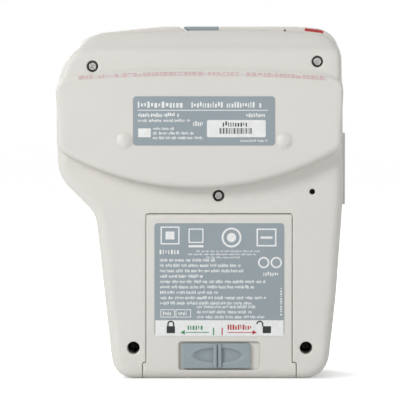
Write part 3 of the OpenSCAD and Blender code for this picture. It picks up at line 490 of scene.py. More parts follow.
def make_battery_door():
    grid = Grid((-34.4, 16.5, 0), (21.4, 21.7, 58.3), 0.24)
    slab = grid.slab(grid.plane(outline(CASE_OUTLINE)), 2.0, REAR_Y, 0, REAR_ROUND)
    main = grid.plate(DOOR_X0, DOOR_X1, 4.5, PIN_Z, 0.9, DOOR_INNER_Y, REAR_CLEAR)
    foot = grid.plate(FOOT_X0, FOOT_X1, -0.2, 5.65, 0.5, DOOR_INNER_Y, REAR_CLEAR)
    body = blend_common(slab, np.minimum(main, foot), 0.16)
    body = blend_union(body, grid.rod("x", PIN_Y, PIN_Z, DOOR_THICK / 2, DOOR_X0, DOOR_X1), 0.12)
    body = carve(body, grid.rod("x", PIN_Y, PIN_Z, PIN_HOLE_R, DOOR_X0 - 1, DOOR_X1 + 1))
    # slider recess with a soft rim, and its slot
    body = carve(body, grid.plate(-20.65, 8.05, 3.1, 13.1, 1.1, REAR_Y - 1.25, REAR_CLEAR), 0.25)
    body = carve(body, grid.box(-11.4, -1.9, 10, 40, 5.8, 9.2, 0.3), 0.2)
    return attach(skin("battery_door_shell", grid, body),
                  "battery_door_body", "battery_door", "case_plastic")


def make_battery_latch():
    grid = Grid((-17.3, 17.6, 3.5), (7.1, 22.5, 12.8), 0.13)
    face_y = REAR_Y + 0.15
    body = grid.plate(-17.1, 6.8, 3.7, 12.5, 0.6, REAR_Y - 1.15, face_y, 0.28)
    # long oval thumb scoop, split by the raised double rib
    scoop_depth = 0.85
    scoop = np.sqrt(((grid.x + 5.65) / 9.0) ** 2 + ((grid.y - face_y) / scoop_depth) ** 2
                    + ((grid.z - 8.3) / 2.75) ** 2)
    body = carve(body, (scoop - 1) * scoop_depth, 0.12)
    rib = grid.box(-7.1, -4.2, REAR_Y - 0.7, REAR_Y + 0.75, 3.95, 12.25, 0.35)
    rib = carve(rib, grid.box(-5.9, -5.4, REAR_Y + 0.1, REAR_Y + 2, 2, 13, 0.0), 0.15)
    body = blend_union(body, rib, 0.25)
    # stem through the door, and the catch behind it
    body = blend_union(body, grid.box(-8.2, -2.2, DOOR_INNER_Y - 0.9, REAR_Y - 0.9, 6, 9, 0.2),
                       0.15)
    body = blend_union(body, grid.box(-11, -1.6, DOOR_INNER_Y - 1.2, DOOR_INNER_Y - 0.1,
                                      5.2, 9.8, 0.2), 0.15)
    return attach(skin("battery_latch_skin", grid, body),
                  "battery_latch_body", "battery_latch", "latch_plastic")


def make_door_latch():
    grid = Grid((-6.4, -25.1, 117), (6.8, 1.9, 124.7), 0.16)
    x0, x1 = LEVER_X0, LEVER_X1
    top, hub_r = 124.3, 2.4
    body = grid.rod("x", *LEVER, hub_r, x0, x1)
    hub = grid.box(x0, x1, LEVER[0] - hub_r, LEVER[0] + hub_r, LEVER[1], top, 0.5)
    body = blend_union(body, blend_common(hub, grid.rod("x", *LEVER, 4.85, x0, x1), 0.2), 0.4)
    body = blend_union(body, grid.box(x0, x1, LEVER[0], -18.5, 122.1, top, 0.45), 0.4)
    tongue = grid.plane([(-6.2, 122.8), (4.1, 122.8), (6.6, top), (-6.2, top)])
    body = blend_union(body, grid.slab(tongue, -19.5, 1.7, 0.2, 0.35), 0.3)
    # hook under the tongue, and the lip at its rear end
    body = blend_union(body, grid.box(x0, x1, -2.6, -0.6, CASE_TOP - 1.5, 123, 0.3), 0.4)
    body = blend_union(body, grid.box(-6.2, 6.0, 0.4, 1.7, 123.7, 124.5, 0.25), 0.4)
    body = carve(body, grid.rod("x", *LEVER, PIVOT_HOLE_R, -7, 5))
    for y in (-16, -14, -12, -10, -8, -6):    # grip grooves
        body = carve(body, grid.rod("x", y, 124.55, 0.55, -5.4, 4.6), 0.3)
    return attach(skin("door_latch_skin", grid, body),
                  "door_latch_body", "door_latch", "latch_plastic")


SHELLS = [make_rear_case(), make_front_case(), make_pump_door(), make_battery_door(),
          make_battery_latch(), make_door_latch()]


def make_keys():
    """One key cap with a hollowed face, a flange and a stem, copied to each key."""
    grid = Grid((-7.3, -20.5, -6.0), (7.3, -15.0, 6.0), 0.2)
    face_y = -20.3
    cap = grid.plate(-6.2, 6.2, -4.9, 4.9, 2.0, face_y, -16, 0.7)
    cap = carve(cap, grid.sphere(0, face_y - 44.7, 0, 45.0), 0.5)
    flange = grid.plate(-7.1, 7.1, -5.8, 5.8, 2.4, -16.75, -15.9, 0.2)
    body = blend_union(cap, flange, 0.3)
    body = blend_union(body, grid.rod("y", 0, 0, 1.6, -16.2, -15.15), 0.2)
    first = skin("key_cap", grid, body, 0.15)
    base = first.data
    bpy.data.objects.remove(first)
    caps = []
    for i, (x, z) in enumerate(KEYS):
        mesh = base.copy()
        mesh.transform(Matrix.Translation((x * MM, 0, z * MM)))
        ob = add_object("key_cap_%d" % (i + 1), mesh)
        slot = {3: "run_key", 7: "stop_key"}.get(i, "key_rubber")
        attach(ob, "key_%d_body" % (i + 1), "key_%d" % (i + 1), slot)
        ob["look"] = slot
        caps.append(ob)
    return caps


KEY_CAPS = make_keys()

# ------------------------------------------------------------------ flat prints
# Shapes are convex x, z polygons in mm. Seen from the rear, +x is on the left, so
# label rows start at their larger x and run towards -x.
PRINTS = []
INK = 0.012                    # thickness of a first layer of ink
SECOND_INK = 0.01              # thickness of ink laid on it


def print_mesh(name, shapes, y, thickness):
    """Thin prisms from y to y + thickness."""
    vertices, faces = [], []
    for shape in shapes:
        shape = [tuple(p) for p in shape]
        n, k = len(shape), len(vertices)
        area = sum(shape[i][0] * shape[(i + 1) % n][1] - shape[(i + 1) % n][0] * shape[i][1]
                   for i in range(n))
        if area < 0:
            shape = shape[::-1]
        for level in (y, y + thickness):
            vertices += [(p[0] * MM, level * MM, p[1] * MM) for p in shape]
        faces.append(tuple(range(k, k + n)))
        faces.append(tuple(range(k + 2 * n - 1, k + n - 1, -1)))
        for i in range(n):
            j = (i + 1) % n
            faces.append((k + j, k + i, k + n + i, k + n + j))
    mesh = bpy.data.meshes.new(name)
    mesh.from_pydata(vertices, [], faces)
    mesh.update()
    return add_object(name, mesh)


def finish_print(ob, look, body):
    ob["look"] = look
    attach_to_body(ob, body)
    PRINTS.append(ob)


def bar(x0, z0, x1, z1):
    return [(x0, z0), (x1, z0), (x1, z1), (x0, z1)]


def hollow_box(x0, z0, x1, z1, w):
    """Frame of width w from the corner with larger x and z to the opposite one."""
    return [bar(x0, z0, x1, z0 - w), bar(x0, z1 + w, x1, z1),
            bar(x0, z0 - w, x0 - w, z1 + w), bar(x1 + w, z0 - w, x1, z1 + w)]


def ring(x, z, r, w, steps=36, start=0.0, end=360.0):
    """Ring or arc of mean radius r and width w; angles in degrees, 270 is the top."""
    shapes = []
    for i in range(steps):
        a, b = (math.radians(start + (end - start) * k / steps) for k in (i, i + 1))
        shapes.append([(x - radius * math.cos(t), z - radius * math.sin(t))
                       for radius, t in ((r + w / 2, a), (r + w / 2, b),
                                         (r - w / 2, b), (r - w / 2, a))])
    return shapes


def disc(x, z, r, steps=28):
    turns = [2 * math.pi * i / steps for i in range(steps)]
    return [[(x - r * math.cos(t), z - r * math.sin(t)) for t in turns]]


def padlock(x, z, is_open=False):
    """Padlock from the top middle of its body; an open one has its shackle off to the left."""
    half, height = 1.46508, 2.47232
    radius, thickness = 1.00724, 0.50362     # shackle
    outer, inner = radius + thickness / 2, radius - thickness / 2
    leg_top, leg_foot = z + 0.77832, z - 0.09157
    shackle_x = x + (height if is_open else 0)
    shapes = [bar(x + half, z, x - half, z - height)]
    shapes += ring(shackle_x, z + 0.73254, radius, thickness, 16, 180, 360)
    shapes.append(bar(shackle_x - inner, leg_top, shackle_x - outer, leg_foot))
    if not is_open:
        shapes.append(bar(shackle_x + outer, leg_top, shackle_x + inner, leg_foot))
    return shapes


def type_rows(rows, shortest):
    """Upright blocks standing in for lines of print; no word starts with less room than
    shortest. Rows: x start, x end, top z, height, seed, word length from and to,
    gap between words, stroke width, stroke pitch."""
    shapes = []
    for x, x_end, top, height, seed, word_min, word_max, gap, stroke, pitch in rows:
        rng = np.random.RandomState(seed)
        while x > x_end + shortest:
            end = max(x - rng.uniform(word_min, word_max), x_end)
            while x > end + stroke:
                width = stroke * rng.choice([0.7, 1.0, 1.25])
                upper = top - height * rng.choice([0.0, 0.22, 0.22, 0.3])
                lower = top - height * rng.choice([0.78, 1.0, 1.0])
                shapes.append(bar(x, upper, max(x - width, end), lower))
                x -= max(pitch * 0.8, width + (pitch - stroke) * 0.75)
            x = end - gap
    return shapes


def paragraph(starts, ends, top, line_pitch, height, seed, *face):
    """Rows for type_rows, one below the other, with seeds counting up."""
    return [(x, x_end, top - k * line_pitch, height, seed + k, *face)
            for k, (x, x_end) in enumerate(zip(starts, ends))]


# Rating label, on the hood
RATING_SHORTEST = 0.525303
RATING_HEADING = [
    (22.31258, 5.08263, 97.7599, 2.17125, 1, 16.109303, 17.159909, 0.700404, 0.770445, 1.365789),
    (3.54174, -21.00744, 97.6198, 1.96113, 2, 9.105258, 13.307685, 1.400809, 0.525303, 1.015586),
]
RATING_BODY = [
    (22.24254, 7.81421, 93.8376, 1.47085, 3, 3.502022, 4.552629, 0.420243, 0.437753, 0.665384),
    (-15.64934, -22.30319, 93.7676, 1.47085, 4, 6.30364, 6.653842, 0.420243, 0.350202, 0.612854),
    (22.24254, 3.85692, 91.6664, 1.05061, 5, 2.801618, 4.902831, 0.490283, 0.245142, 0.402733),
    (2.91138, -0.59065, 90.966, 1.75101, 6, 3.502022, 3.852225, 0.490283, 0.455263, 0.840485),
    *paragraph([16.9895] * 3, (9.46016, 2.63121, -1.22101), 88.8297, 1.61093, 1.01559, 10,
               1.400809, 3.15182, 0.385222, 0.210121, 0.350202),
    (-13.47809, -23.28375, 84.5223, 0.91053, 15, 2.101213, 3.15182, 0.350202, 0.175101, 0.315182),
]
RATING_CODE = [
    (-7.45461, -16.13963, 90.8259, 1.82105, 8, 8.404854, 8.755056, 0.490283, 0.455263, 1.015586),
]
PLATE_X0, PLATE_X1, PLATE_Z1 = -2.13154, -22.23314, 85.2927


def bar_code():
    x, last_start, x_end = -6.333964, -17.505415, -17.785577
    top, bottom = 88.5146, 86.4834
    thin, medium, thick = 0.157591, 0.315182, 0.420243
    gap, wide_gap = 0.210121, 0.350202
    rng = np.random.RandomState(7)
    shapes = []
    while x > last_start:
        width = rng.choice([thin, thin, medium, thick])
        shapes.append(bar(x, top, max(x - width, x_end), bottom))
        x -= width + rng.choice([gap, gap, wide_gap])
    return shapes


def rating_label():
    """Heading, rule, lines and a solid block; a plate with a bar code on it."""
    white = type_rows(RATING_HEADING, RATING_SHORTEST)
    white.append(bar(22.4176, 94.8532, -23.2137, 94.5731))
    white += type_rows(RATING_BODY, RATING_SHORTEST)
    white.append(bar(22.1725, 88.3745, 17.7599, PLATE_Z1))
    plate = [bar(PLATE_X0, 91.3162, PLATE_X1, PLATE_Z1),
             bar(-1.8864, 91.071, PLATE_X0, 85.5378),
             bar(PLATE_X1, 91.071, -22.4783, 85.5378)]
    dark = bar_code() + type_rows(RATING_CODE, RATING_SHORTEST)
    y = HOOD_Y + 0.15
    return [("rating_print_white", white, "white_ink", y, INK),
            ("rating_print_plate", plate, "white_ink", y, INK),
            ("rating_print_dark", dark, "black_ink", y + INK, SECOND_INK)]


# Battery label, on the battery door
BATTERY_SHORTEST = 0.528274
BATTERY_CAPTIONS = [
    (14.79339, 7.39756, 45.9839, 1.97222, 17, 7.043651, 7.395833, 0.493056, 0.528274, 1.197421),
    *paragraph((1.93873, 4.75619, -1.5831), (-21.30532, -19.19222, -13.5573), 45.4204,
               1.09177, 0.70437, 40, 1.056548, 2.465278, 0.352183, 0.140873, 0.281746),
]
BATTERY_NOTICE = [
    (-21.83359, -27.99679, 37.8837, 1.62004, 18, 5.634921, 5.987103, 0.493056, 0.387401, 0.880456),
    *paragraph([14.6173] * 9, (-5.10492, -14.05036, -15.24778, -0.52655, -22.71405,
                               -18.84004, -6.16147, -23.06623, -18.13567),
               42.5325, 1.90179, 1.1622, 20, 1.40873, 3.874008, 0.457837, 0.21131, 0.369792),
    *paragraph([1.58655] * 3, (-19.08657, -17.78349, -23.06623), 25.98, 1.79613, 1.09177, 33,
               1.40873, 3.521825, 0.457837, 0.1937, 0.352183),
]
BATTERY_BOXED = [
    (13.56075, 10.21502, 23.7964, 1.33829, 36, 2.81746, 3.169643, 0.493056, 0.316964, 0.633929),
    (8.27802, 4.40401, 23.7964, 1.33829, 37, 3.169643, 3.521825, 0.493056, 0.316964, 0.633929),
]
GREEN_WORD = (4.89706, -0.66742, 19.1476, 1.83135, 50,
              5.634921, 5.987103, 0.493056, 0.528274, 1.056548)
RED_WORD = (-9.19024, -17.71306, 19.1476, 1.83135, 51,
            8.452381, 8.804563, 0.493056, 0.528274, 0.986111)


def arrow_mark(word, shaft, tip_x, base_x, stop):
    """A word over an arrow, and an upright bar beside them; shaft and stop are x ranges."""
    z, half_shaft, half_head = 16.4006, 0.14087, 0.84524
    return type_rows([word], BATTERY_SHORTEST) + [
        bar(shaft[0], z - half_shaft, shaft[1], z + half_shaft),
        [(tip_x, z), (base_x, z + half_head), (base_x, z - half_head)],
        bar(stop[0], 18.0911, stop[1], 15.4145)]


def battery_label():
    """A row of plain marks, a long notice, and a strip with two padlocks and arrows."""
    white = hollow_box(14.4412, 53.7672, 7.7497, 47.4279, 0.45784)
    white.append(bar(12.6803, 52.0063, 9.5107, 49.1888))
    white += hollow_box(4.5801, 53.0628, -0.7026, 47.9562, 0.42262)
    white.append(bar(4.5801, 47.1813, -0.7026, 46.4065))
    white += ring(-10.5638, 49.8932, 3.16964, 0.66915) + disc(-10.5638, 49.8932, 1.62004)
    white += hollow_box(-19.3683, 53.0628, -26.412, 46.7235, 0.52827)
    white.append(bar(-20.777, 50.2806, -25.0032, 49.4353))
    white += type_rows(BATTERY_CAPTIONS, BATTERY_SHORTEST)
    for x in (-21.904, -26.3415):
        white += ring(x, 41.0534, 1.72569, 0.56349, 28)
    white += type_rows(BATTERY_NOTICE, BATTERY_SHORTEST)
    for x0, x1 in ((14.4412, 9.405), (9.1233, 3.6996)):
        white += hollow_box(x0, 24.536, x1, 21.6833, 0.24653)
    white += type_rows(BATTERY_BOXED, BATTERY_SHORTEST)
    for k in range(11):        # column of ticks, every third one short
        z = 32.1079 - 0.915675 * k
        white.append(bar(-27.7503, z, -28.3842, z - (0.56349 if k % 3 else 0.31696)))
    strip = [bar(16.3078, 20.6972, -28.9125, 15.1327)]
    dark = padlock(10.8137, 18.5841) + padlock(-23.031, 18.5841, True)
    green = arrow_mark(GREEN_WORD, (5.6366, -2.6396), 7.5032, 5.8832, (-4.0484, -4.471))
    red = arrow_mark(RED_WORD, (-9.155, -18.3118), -19.5444, -17.9948, (-7.0771, -7.4998))
    y = REAR_Y + 0.15
    return [("battery_print_white", white, "white_ink", y, INK),
            ("battery_print_strip", strip, "white_ink", y, INK),
            ("battery_print_dark", dark, "black_ink", y + INK, SECOND_INK),
            ("battery_print_green", green, "green_ink", y + INK, SECOND_INK),
            ("battery_print_red", red, "red_ink", y + INK, SECOND_INK)]


for body, label in (("case", rating_label()), ("battery_door_body", battery_label())):
    for name, shapes, look, y, thickness in label:
        finish_print(print_mesh(name, shapes, y, thickness), look, body)


def ridge(x):
    """Height of the hood's upper edge at x."""
    return 107.9 - (x - 1) ** 2 / 1230.0


def ridge_bar(x0, x1, low, high):
    """Bar following the ridge, low and high above it."""
    return [(x0, ridge(x0) + low), (x1, ridge(x1) + low),
            (x1, ridge(x1) + high), (x0, ridge(x0) + high)]


def seal_print():
    """Fine broken print in three lines along the clear strip on the ridge."""
    rng = np.random.RandomState(3)
    shapes, x = [], -42.6
    while x < 42.0:
        width = rng.uniform(0.5, 1.9)
        if rng.rand() < 0.86:
            for top, height in ((0.22, 0.2), (-0.26, 0.22), (-0.76, 0.2)):
                if rng.rand() < 0.9:
                    shapes.append(ridge_bar(x, x + width, top - height, top))
        x += width + rng.uniform(0.25, 0.6)
    return shapes


def seal_edge():
    """Painted highlight: a pale line along the lower edge of the clear strip."""
    start, length, count = -46.0, 92.6, 60
    xs = [start + i * length / count for i in range(count + 1)]
    return [ridge_bar(x0, x1, -1.34, -1.14) for x0, x1 in zip(xs, xs[1:])]


def strip_top(x):
    """Height of the pump door's strip at x."""
    points = [p for p in outline(DOOR_OUTLINE, 18) if p[1] > 113]
    edges = [(a, b) for a, b in zip(points, points[1:] + points[:1])
             if min(a[0], b[0]) <= x <= max(a[0], b[0])]
    (xa, za), (xb, zb) = max(edges, key=lambda edge: edge[0][1] + edge[1][1])
    return za + (zb - za) * ((x - xa) / (xb - xa))


def flow_mark_edge():
    start, step, count = -36.9, 0.66, 10
    low, high = 1.25, 0.25     # below the strip's top
    shapes = []
    for i in range(count):
        x0, x1 = start - step * i, start - step * (i + 1)
        z0, z1 = strip_top(x0), strip_top(x1)
        shapes.append([(x0, z0 - low), (x1, z1 - low), (x1, z1 - high), (x0, z0 - high)])
    return shapes


# painted highlight along the clear strip's lower edge, in white ink
finish_print(print_mesh("seal_edge", seal_edge(), HOOD_Y - 0.004, 0.012), "white_ink", "case")
finish_print(print_mesh("seal_print", seal_print(), HOOD_Y + 0.12, 0.01), "pink_ink", "case")
finish_print(print_mesh("flow_mark_edge", flow_mark_edge(), 1.99, 0.03),
             "red_ink", "pump_door_body")


# ------------------------------------------------------------------ key legends
def digit_mesh(name, text, x, z):
    curve = bpy.data.curves.new(name, "FONT")
    curve.body = text
    curve.size = 5.4 * MM
    curve.align_x, curve.align_y = "CENTER", "CENTER"
    curve.extrude = 0.05 * MM
    curve.resolution_u = 6
    text_ob = add_object(name + "_c", curve)
    bpy.context.view_layer.update()
    depsgraph = bpy.context.evaluated_depsgraph_get()
    mesh = bpy.data.meshes.new_from_object(text_ob.evaluated_get(depsgraph))
    bpy.data.objects.remove(text_ob)
    mesh.transform(Matrix.Translation((x * MM, -20.0 * MM, z * MM))
                   @ Matrix.Rotation(math.radians(90), 4, "X"))
    return add_object(name, mesh)


# Marks drawn as x, z points about the key's middle; the other keys carry digits
KEY_SHAPES = {
    "run": [(-1.7, -2.2), (2.3, 0), (-1.7, 2.2)],
    "stop": [(-1.9, -1.9), (1.9, -1.9), (1.9, 1.9), (-1.9, 1.9)],
}
LEGENDS = ["1", "2", "3", "run", "4", "5", "6", "stop", "7", "8", "9", "0"]
for i, ((x, z), legend) in enumerate(zip(KEYS, LEGENDS)):
    name = "key_mark_" + legend
    if legend in KEY_SHAPES:
        shape = [(x + dx, z + dz) for dx, dz in KEY_SHAPES[legend]]
        ob = print_mesh(name, [shape], -20.05, 0.08)
    else:
        ob = digit_mesh(name, legend, x, z)
    finish_print(ob, "white_ink" if legend in KEY_SHAPES else "black_ink",
                 "key_%d_body" % (i + 1))


# ------------------------------------------------------------------ materials
class Material:
    """Builder of procedural materials. Patterns use object space, in metres, so they ride
    with their piece."""

    def __init__(self, name):
        self.data = bpy.data.materials.new(name)
        self.data.use_nodes = True
        self.tree = self.data.node_tree
        self.tree.nodes.clear()
        output = self.node("ShaderNodeOutputMaterial")
        self.shader = self.node("ShaderNodeBsdfPrincipled")
        self.tree.links.new(self.shader.outputs[0], output.inputs[0])
        coords = self.node("ShaderNodeTexCoord")
        self.place, self.generated = coords.outputs["Object"], coords.outputs["Generated"]

    def node(self, kind, **props):
        node = self.tree.nodes.new(kind)
        for key, value in props.items():
            setattr(node, key, value)
        return node

    def put(self, socket, value):
        """Link or set an input."""
        if isinstance(value, bpy.types.NodeSocket):
            self.tree.links.new(value, socket)
        elif isinstance(value, tuple) and len(value) == 3 and socket.type == "RGBA":
            socket.default_value = (*value, 1.0)
        else:
            socket.default_value = value

    def set(self, **inputs):
        for key, value in inputs.items():
            self.put(self.shader.inputs[key.replace("_", " ")], value)

    def mapping(self, scale, rotation=(0, 0, 0)):
        node = self.node("ShaderNodeMapping")
        self.put(node.inputs["Vector"], self.place)
        node.inputs["Scale"].default_value = scale
        node.inputs["Rotation"].default_value = rotation
        return node.outputs[0]

    def noise(self, scale, detail=3.0, roughness=0.55, vector=None, distortion=0.0):
        node = self.node("ShaderNodeTexNoise")
        self.put(node.inputs["Vector"], vector or self.place)
        node.inputs["Scale"].default_value = scale
        node.inputs["Detail"].default_value = detail
        node.inputs["Roughness"].default_value = roughness
        node.inputs["Distortion"].default_value = distortion
        return node.outputs[0]

    def voronoi(self, scale, vector=None, feature="F1"):
        node = self.node("ShaderNodeTexVoronoi", feature=feature)
        self.put(node.inputs["Vector"], vector or self.place)
        node.inputs["Scale"].default_value = scale
        return node.outputs["Distance"]

    def wave(self, scale, direction, distortion=0.0):
        node = self.node("ShaderNodeTexWave", wave_type="BANDS", bands_direction=direction)
        self.put(node.inputs["Vector"], self.place)
        node.inputs["Scale"].default_value = scale
        node.inputs["Distortion"].default_value = distortion
        return node.outputs["Fac"]

    def axis(self, index, source=None):
        node = self.node("ShaderNodeSeparateXYZ")
        self.put(node.inputs[0], source or self.place)
        return node.outputs[index]

    def wear(self):
        """Curvature stored on the shells."""
        return self.node("ShaderNodeAttribute", attribute_name="wear").outputs["Fac"]

    def remap(self, value, span, to=(0.0, 1.0)):
        """Stretch the span of a value onto another range, clamped."""
        node = self.node("ShaderNodeMapRange", clamp=True)
        self.put(node.inputs["Value"], value)
        for key, number in zip(("From Min", "From Max", "To Min", "To Max"), (*span, *to)):
            node.inputs[key].default_value = number
        return node.outputs[0]

    def calc(self, operation, a, b=0.0):
        node = self.node("ShaderNodeMath", operation=operation)
        self.put(node.inputs[0], a)
        self.put(node.inputs[1], b)
        return node.outputs[0]

    def add(self, a, b):
        return self.calc("ADD", a, b)

    def sub(self, a, b):
        return self.calc("SUBTRACT", a, b)

    def mul(self, a, b):
        return self.calc("MULTIPLY", a, b)

    def mix(self, factor, a, b):
        node = self.node("ShaderNodeMix", data_type="RGBA")
        self.put(node.inputs[0], factor)
        self.put(node.inputs[6], a)
        self.put(node.inputs[7], b)
        return node.outputs[2]

    def bump(self, height, strength, distance, normal=None):
        node = self.node("ShaderNodeBump")
        node.inputs["Strength"].default_value = strength
        node.inputs["Distance"].default_value = distance
        self.put(node.inputs["Height"], height)
        if normal is not None:
            self.put(node.inputs["Normal"], normal)
        return node.outputs[0]


def shade(colour, k):
    return tuple(min(1.0, v * k) for v in colour)


def moulded(name, base, roughness=0.45, grain=2300, grain_depth=0.25, tone=0.018,
            grime_and_shade_colour=(0.30, 0.28, 0.24), grime_and_shade_amount=0.5, edge=0.10, coat=0.0, sheen=0.0,
            fibre=0.0):
    """Moulded plastic or rubber: slow tone drift, grain, painted shade and grime in folds, rubbed
    edges.
    """
    mat = Material(name)
    slow = mat.noise(scale=19, detail=2.0)
    mid = mat.noise(scale=230, detail=4.0, roughness=0.6)
    fine = mat.noise(scale=grain, detail=2.0, roughness=0.5)
    wear = mat.wear()
    col = mat.mix(mat.remap(slow, (0.3, 0.7)), shade(base, 1 - tone), shade(base, 1 + tone))
    col = mat.mix(mat.remap(fine, (0.35, 0.75), to=(0.0, 0.10)), col, shade(base, 0.72))
    # painted shade and grime: the colour darkens in folds, where curvature is negative
    grime_and_shade = mat.mul(mat.remap(wear, (-0.14, -0.60), to=(0.0, grime_and_shade_amount)),
                    mat.remap(mid, (0.28, 0.68), to=(0.55, 0.9)))
    col = mat.mix(grime_and_shade, col, grime_and_shade_colour)
    rubbed = mat.mul(mat.remap(wear, (0.18, 0.75), to=(0.0, edge)),
                     mat.remap(mid, (0.35, 0.62), to=(0.2, 1.0)))
    col = mat.mix(rubbed, col, shade(base, 1.22))
    # short, faint hairline scuffs
    across = mat.mapping(scale=(1.0, 1.0, 14.0), rotation=(0.0, 0.55, 0.2))
    scuff = mat.noise(scale=90, detail=2.0, roughness=0.5, vector=across, distortion=0.3)
    hair = mat.remap(scuff, (0.705, 0.73), to=(0.0, 0.16))
    col = mat.mix(hair, col, shade(base, 1.16))
    if fibre:
        along = mat.mapping(scale=(1.0, 7.0, 1.0), rotation=(0.4, 0.2, 0.7))
        strands = mat.noise(scale=420, detail=3.0, roughness=0.7, vector=along, distortion=1.2)
        col = mat.mix(mat.remap(strands, (0.55, 0.75), to=(0.0, fibre)), col, shade(base, 2.2))
    rough = mat.add(mat.remap(mid, (0.25, 0.75), to=(roughness - 0.05, roughness + 0.07)),
                    mat.mul(hair, 0.5))
    rough = mat.sub(rough, mat.remap(wear, (0.15, 0.8), to=(0.0, 0.08)))
    sway = mat.bump(slow, strength=0.10, distance=0.0006)
    mat.set(Base_Color=col, Roughness=rough, Coat_Weight=coat, Sheen_Weight=sheen,
            Normal=mat.bump(fine, strength=grain_depth, distance=0.00005, normal=sway))
    return mat.data


def metal(name, base, roughness, brush, brush_depth=0.12, tarnish=(0.30, 0.27, 0.22)):
    """Brushed metal; brush stretches the lines by axis."""
    mat = Material(name)
    lines = mat.noise(scale=900, detail=2.0, roughness=0.6, vector=mat.mapping(scale=brush))
    blot = mat.noise(scale=160, detail=4.0, roughness=0.6)
    wear = mat.wear()
    col = mat.mix(mat.remap(lines, (0.3, 0.7)), shade(base, 0.9), shade(base, 1.08))
    col = mat.mix(mat.remap(blot, (0.56, 0.78), to=(0.0, 0.35)), col, tarnish)
    col = mat.mix(mat.remap(wear, (-0.1, -0.6), to=(0.0, 0.6)), col, shade(tarnish, 0.5))
    rough = mat.add(mat.remap(lines, (0.3, 0.7), to=(roughness - 0.06, roughness + 0.08)),
                    mat.remap(blot, (0.5, 0.8), to=(0.0, 0.12)))
    mat.set(Base_Color=col, Roughness=rough, Metallic=1.0,
            Normal=mat.bump(lines, strength=brush_depth, distance=0.00003))
    return mat.data


def film(name, base, roughness=0.34, coat=0.25):
    """Label film: faint press mottle, laminate waviness and rubs."""
    mat = Material(name)
    slow = mat.noise(scale=34, detail=3.0)
    mid = mat.noise(scale=420, detail=3.0, roughness=0.6)
    fine = mat.noise(scale=3000, detail=1.0)
    across = mat.mapping(scale=(1.0, 1.0, 9.0), rotation=(0.0, -0.9, 0.0))
    rub = mat.noise(scale=70, detail=3.0, roughness=0.6, vector=across, distortion=0.5)
    col = mat.mix(mat.remap(slow, (0.3, 0.7)), shade(base, 0.972), shade(base, 1.028))
    col = mat.mix(mat.remap(fine, (0.4, 0.8), to=(0.0, 0.10)), col, shade(base, 0.80))
    col = mat.mix(mat.remap(rub, (0.66, 0.74), to=(0.0, 0.22)), col, shade(base, 1.35))
    rough = mat.add(mat.remap(mid, (0.3, 0.7), to=(roughness - 0.04, roughness + 0.06)),
                    mat.remap(rub, (0.62, 0.74), to=(0.0, 0.16)))
    waves = mat.bump(slow, strength=0.12, distance=0.0003)
    mat.set(Base_Color=col, Roughness=rough, Coat_Weight=coat, Coat_Roughness=0.2,
            Normal=mat.bump(fine, strength=0.06, distance=0.00003, normal=waves))
    return mat.data


def ink(name, base):
    mat = Material(name)
    fine = mat.noise(scale=900, detail=3.0, roughness=0.65)
    slow = mat.noise(scale=60, detail=2.0)
    col = mat.mix(mat.remap(fine, (0.3, 0.75)), base, shade(base, 0.86))
    col = mat.mix(mat.remap(slow, (0.35, 0.7), to=(0.0, 0.10)), col, shade(base, 0.8))
    mat.set(Base_Color=col, Roughness=mat.remap(fine, (0.3, 0.7), to=(0.39, 0.53)),
            Normal=mat.bump(fine, strength=0.10, distance=0.00002))
    return mat.data


def screw_metal(name):
    """Worn bright steel in the middle of each head; round the rim, black oxide with painted shade
    of the well.
    """
    mat = Material(name)
    x, z = mat.axis(0), mat.axis(2)
    near = None
    for screw_x, screw_z in ALL_SCREWS:
        dx, dz = mat.sub(x, screw_x * MM), mat.sub(z, screw_z * MM)
        reach = mat.calc("SQRT", mat.add(mat.mul(dx, dx), mat.mul(dz, dz)))
        near = reach if near is None else mat.calc("MINIMUM", near, reach)
    blot = mat.noise(scale=900, detail=3.0, roughness=0.6)
    fine = mat.noise(scale=4200, detail=2.0)
    ragged = mat.add(near, mat.remap(blot, (0.3, 0.7), to=(-0.00012, 0.00012)))
    rim = mat.remap(ragged, (0.00122, 0.00138))
    col = mat.mix(mat.remap(fine, (0.3, 0.7)), (0.66, 0.645, 0.62), (0.86, 0.85, 0.83))
    col = mat.mix(mat.remap(blot, (0.58, 0.75), to=(0.0, 0.5)), col, (0.30, 0.25, 0.19))
    # near-black rim: black oxide, and painted shade of the gap in the well round the head
    col = mat.mix(rim, col, (0.035, 0.033, 0.031))
    # painted shade: the two low screws sit at the bottom of deep wells and are painted near black
    col = mat.mix(mat.remap(z, (0.022, 0.018)), col, (0.03, 0.026, 0.022))
    rough = mat.add(mat.remap(fine, (0.3, 0.7), to=(0.22, 0.36)), mat.mul(rim, 0.2))
    mat.set(Base_Color=col, Metallic=mat.sub(0.62, mat.mul(rim, 0.5)), Roughness=rough,
            Normal=mat.bump(fine, strength=0.12, distance=0.00003))
    return mat.data


def circuit_board(name):
    """Green solder mask over fine tracks."""
    mat = Material(name)
    base = (0.018, 0.090, 0.040)
    cell = mat.voronoi(scale=420, vector=mat.mapping(scale=(1, 1, 1)),
                       feature="DISTANCE_TO_EDGE")
    tracks = mat.wave(scale=130, direction="X", distortion=6.0)
    track = mat.mul(mat.remap(tracks, (0.52, 0.62)), mat.remap(cell, (0.02, 0.09)))
    fine = mat.noise(scale=1500, detail=2.0)
    col = mat.mix(track, base, shade(base, 1.9))
    col = mat.mix(mat.remap(fine, (0.5, 0.8), to=(0.0, 0.25)), col, shade(base, 0.6))
    height = mat.add(track, mat.mul(fine, 0.2))
    mat.set(Base_Color=col, Roughness=mat.remap(fine, (0.3, 0.7), to=(0.28, 0.4)),
            Normal=mat.bump(height, strength=0.35, distance=0.00005), Coat_Weight=0.35)
    return mat.data


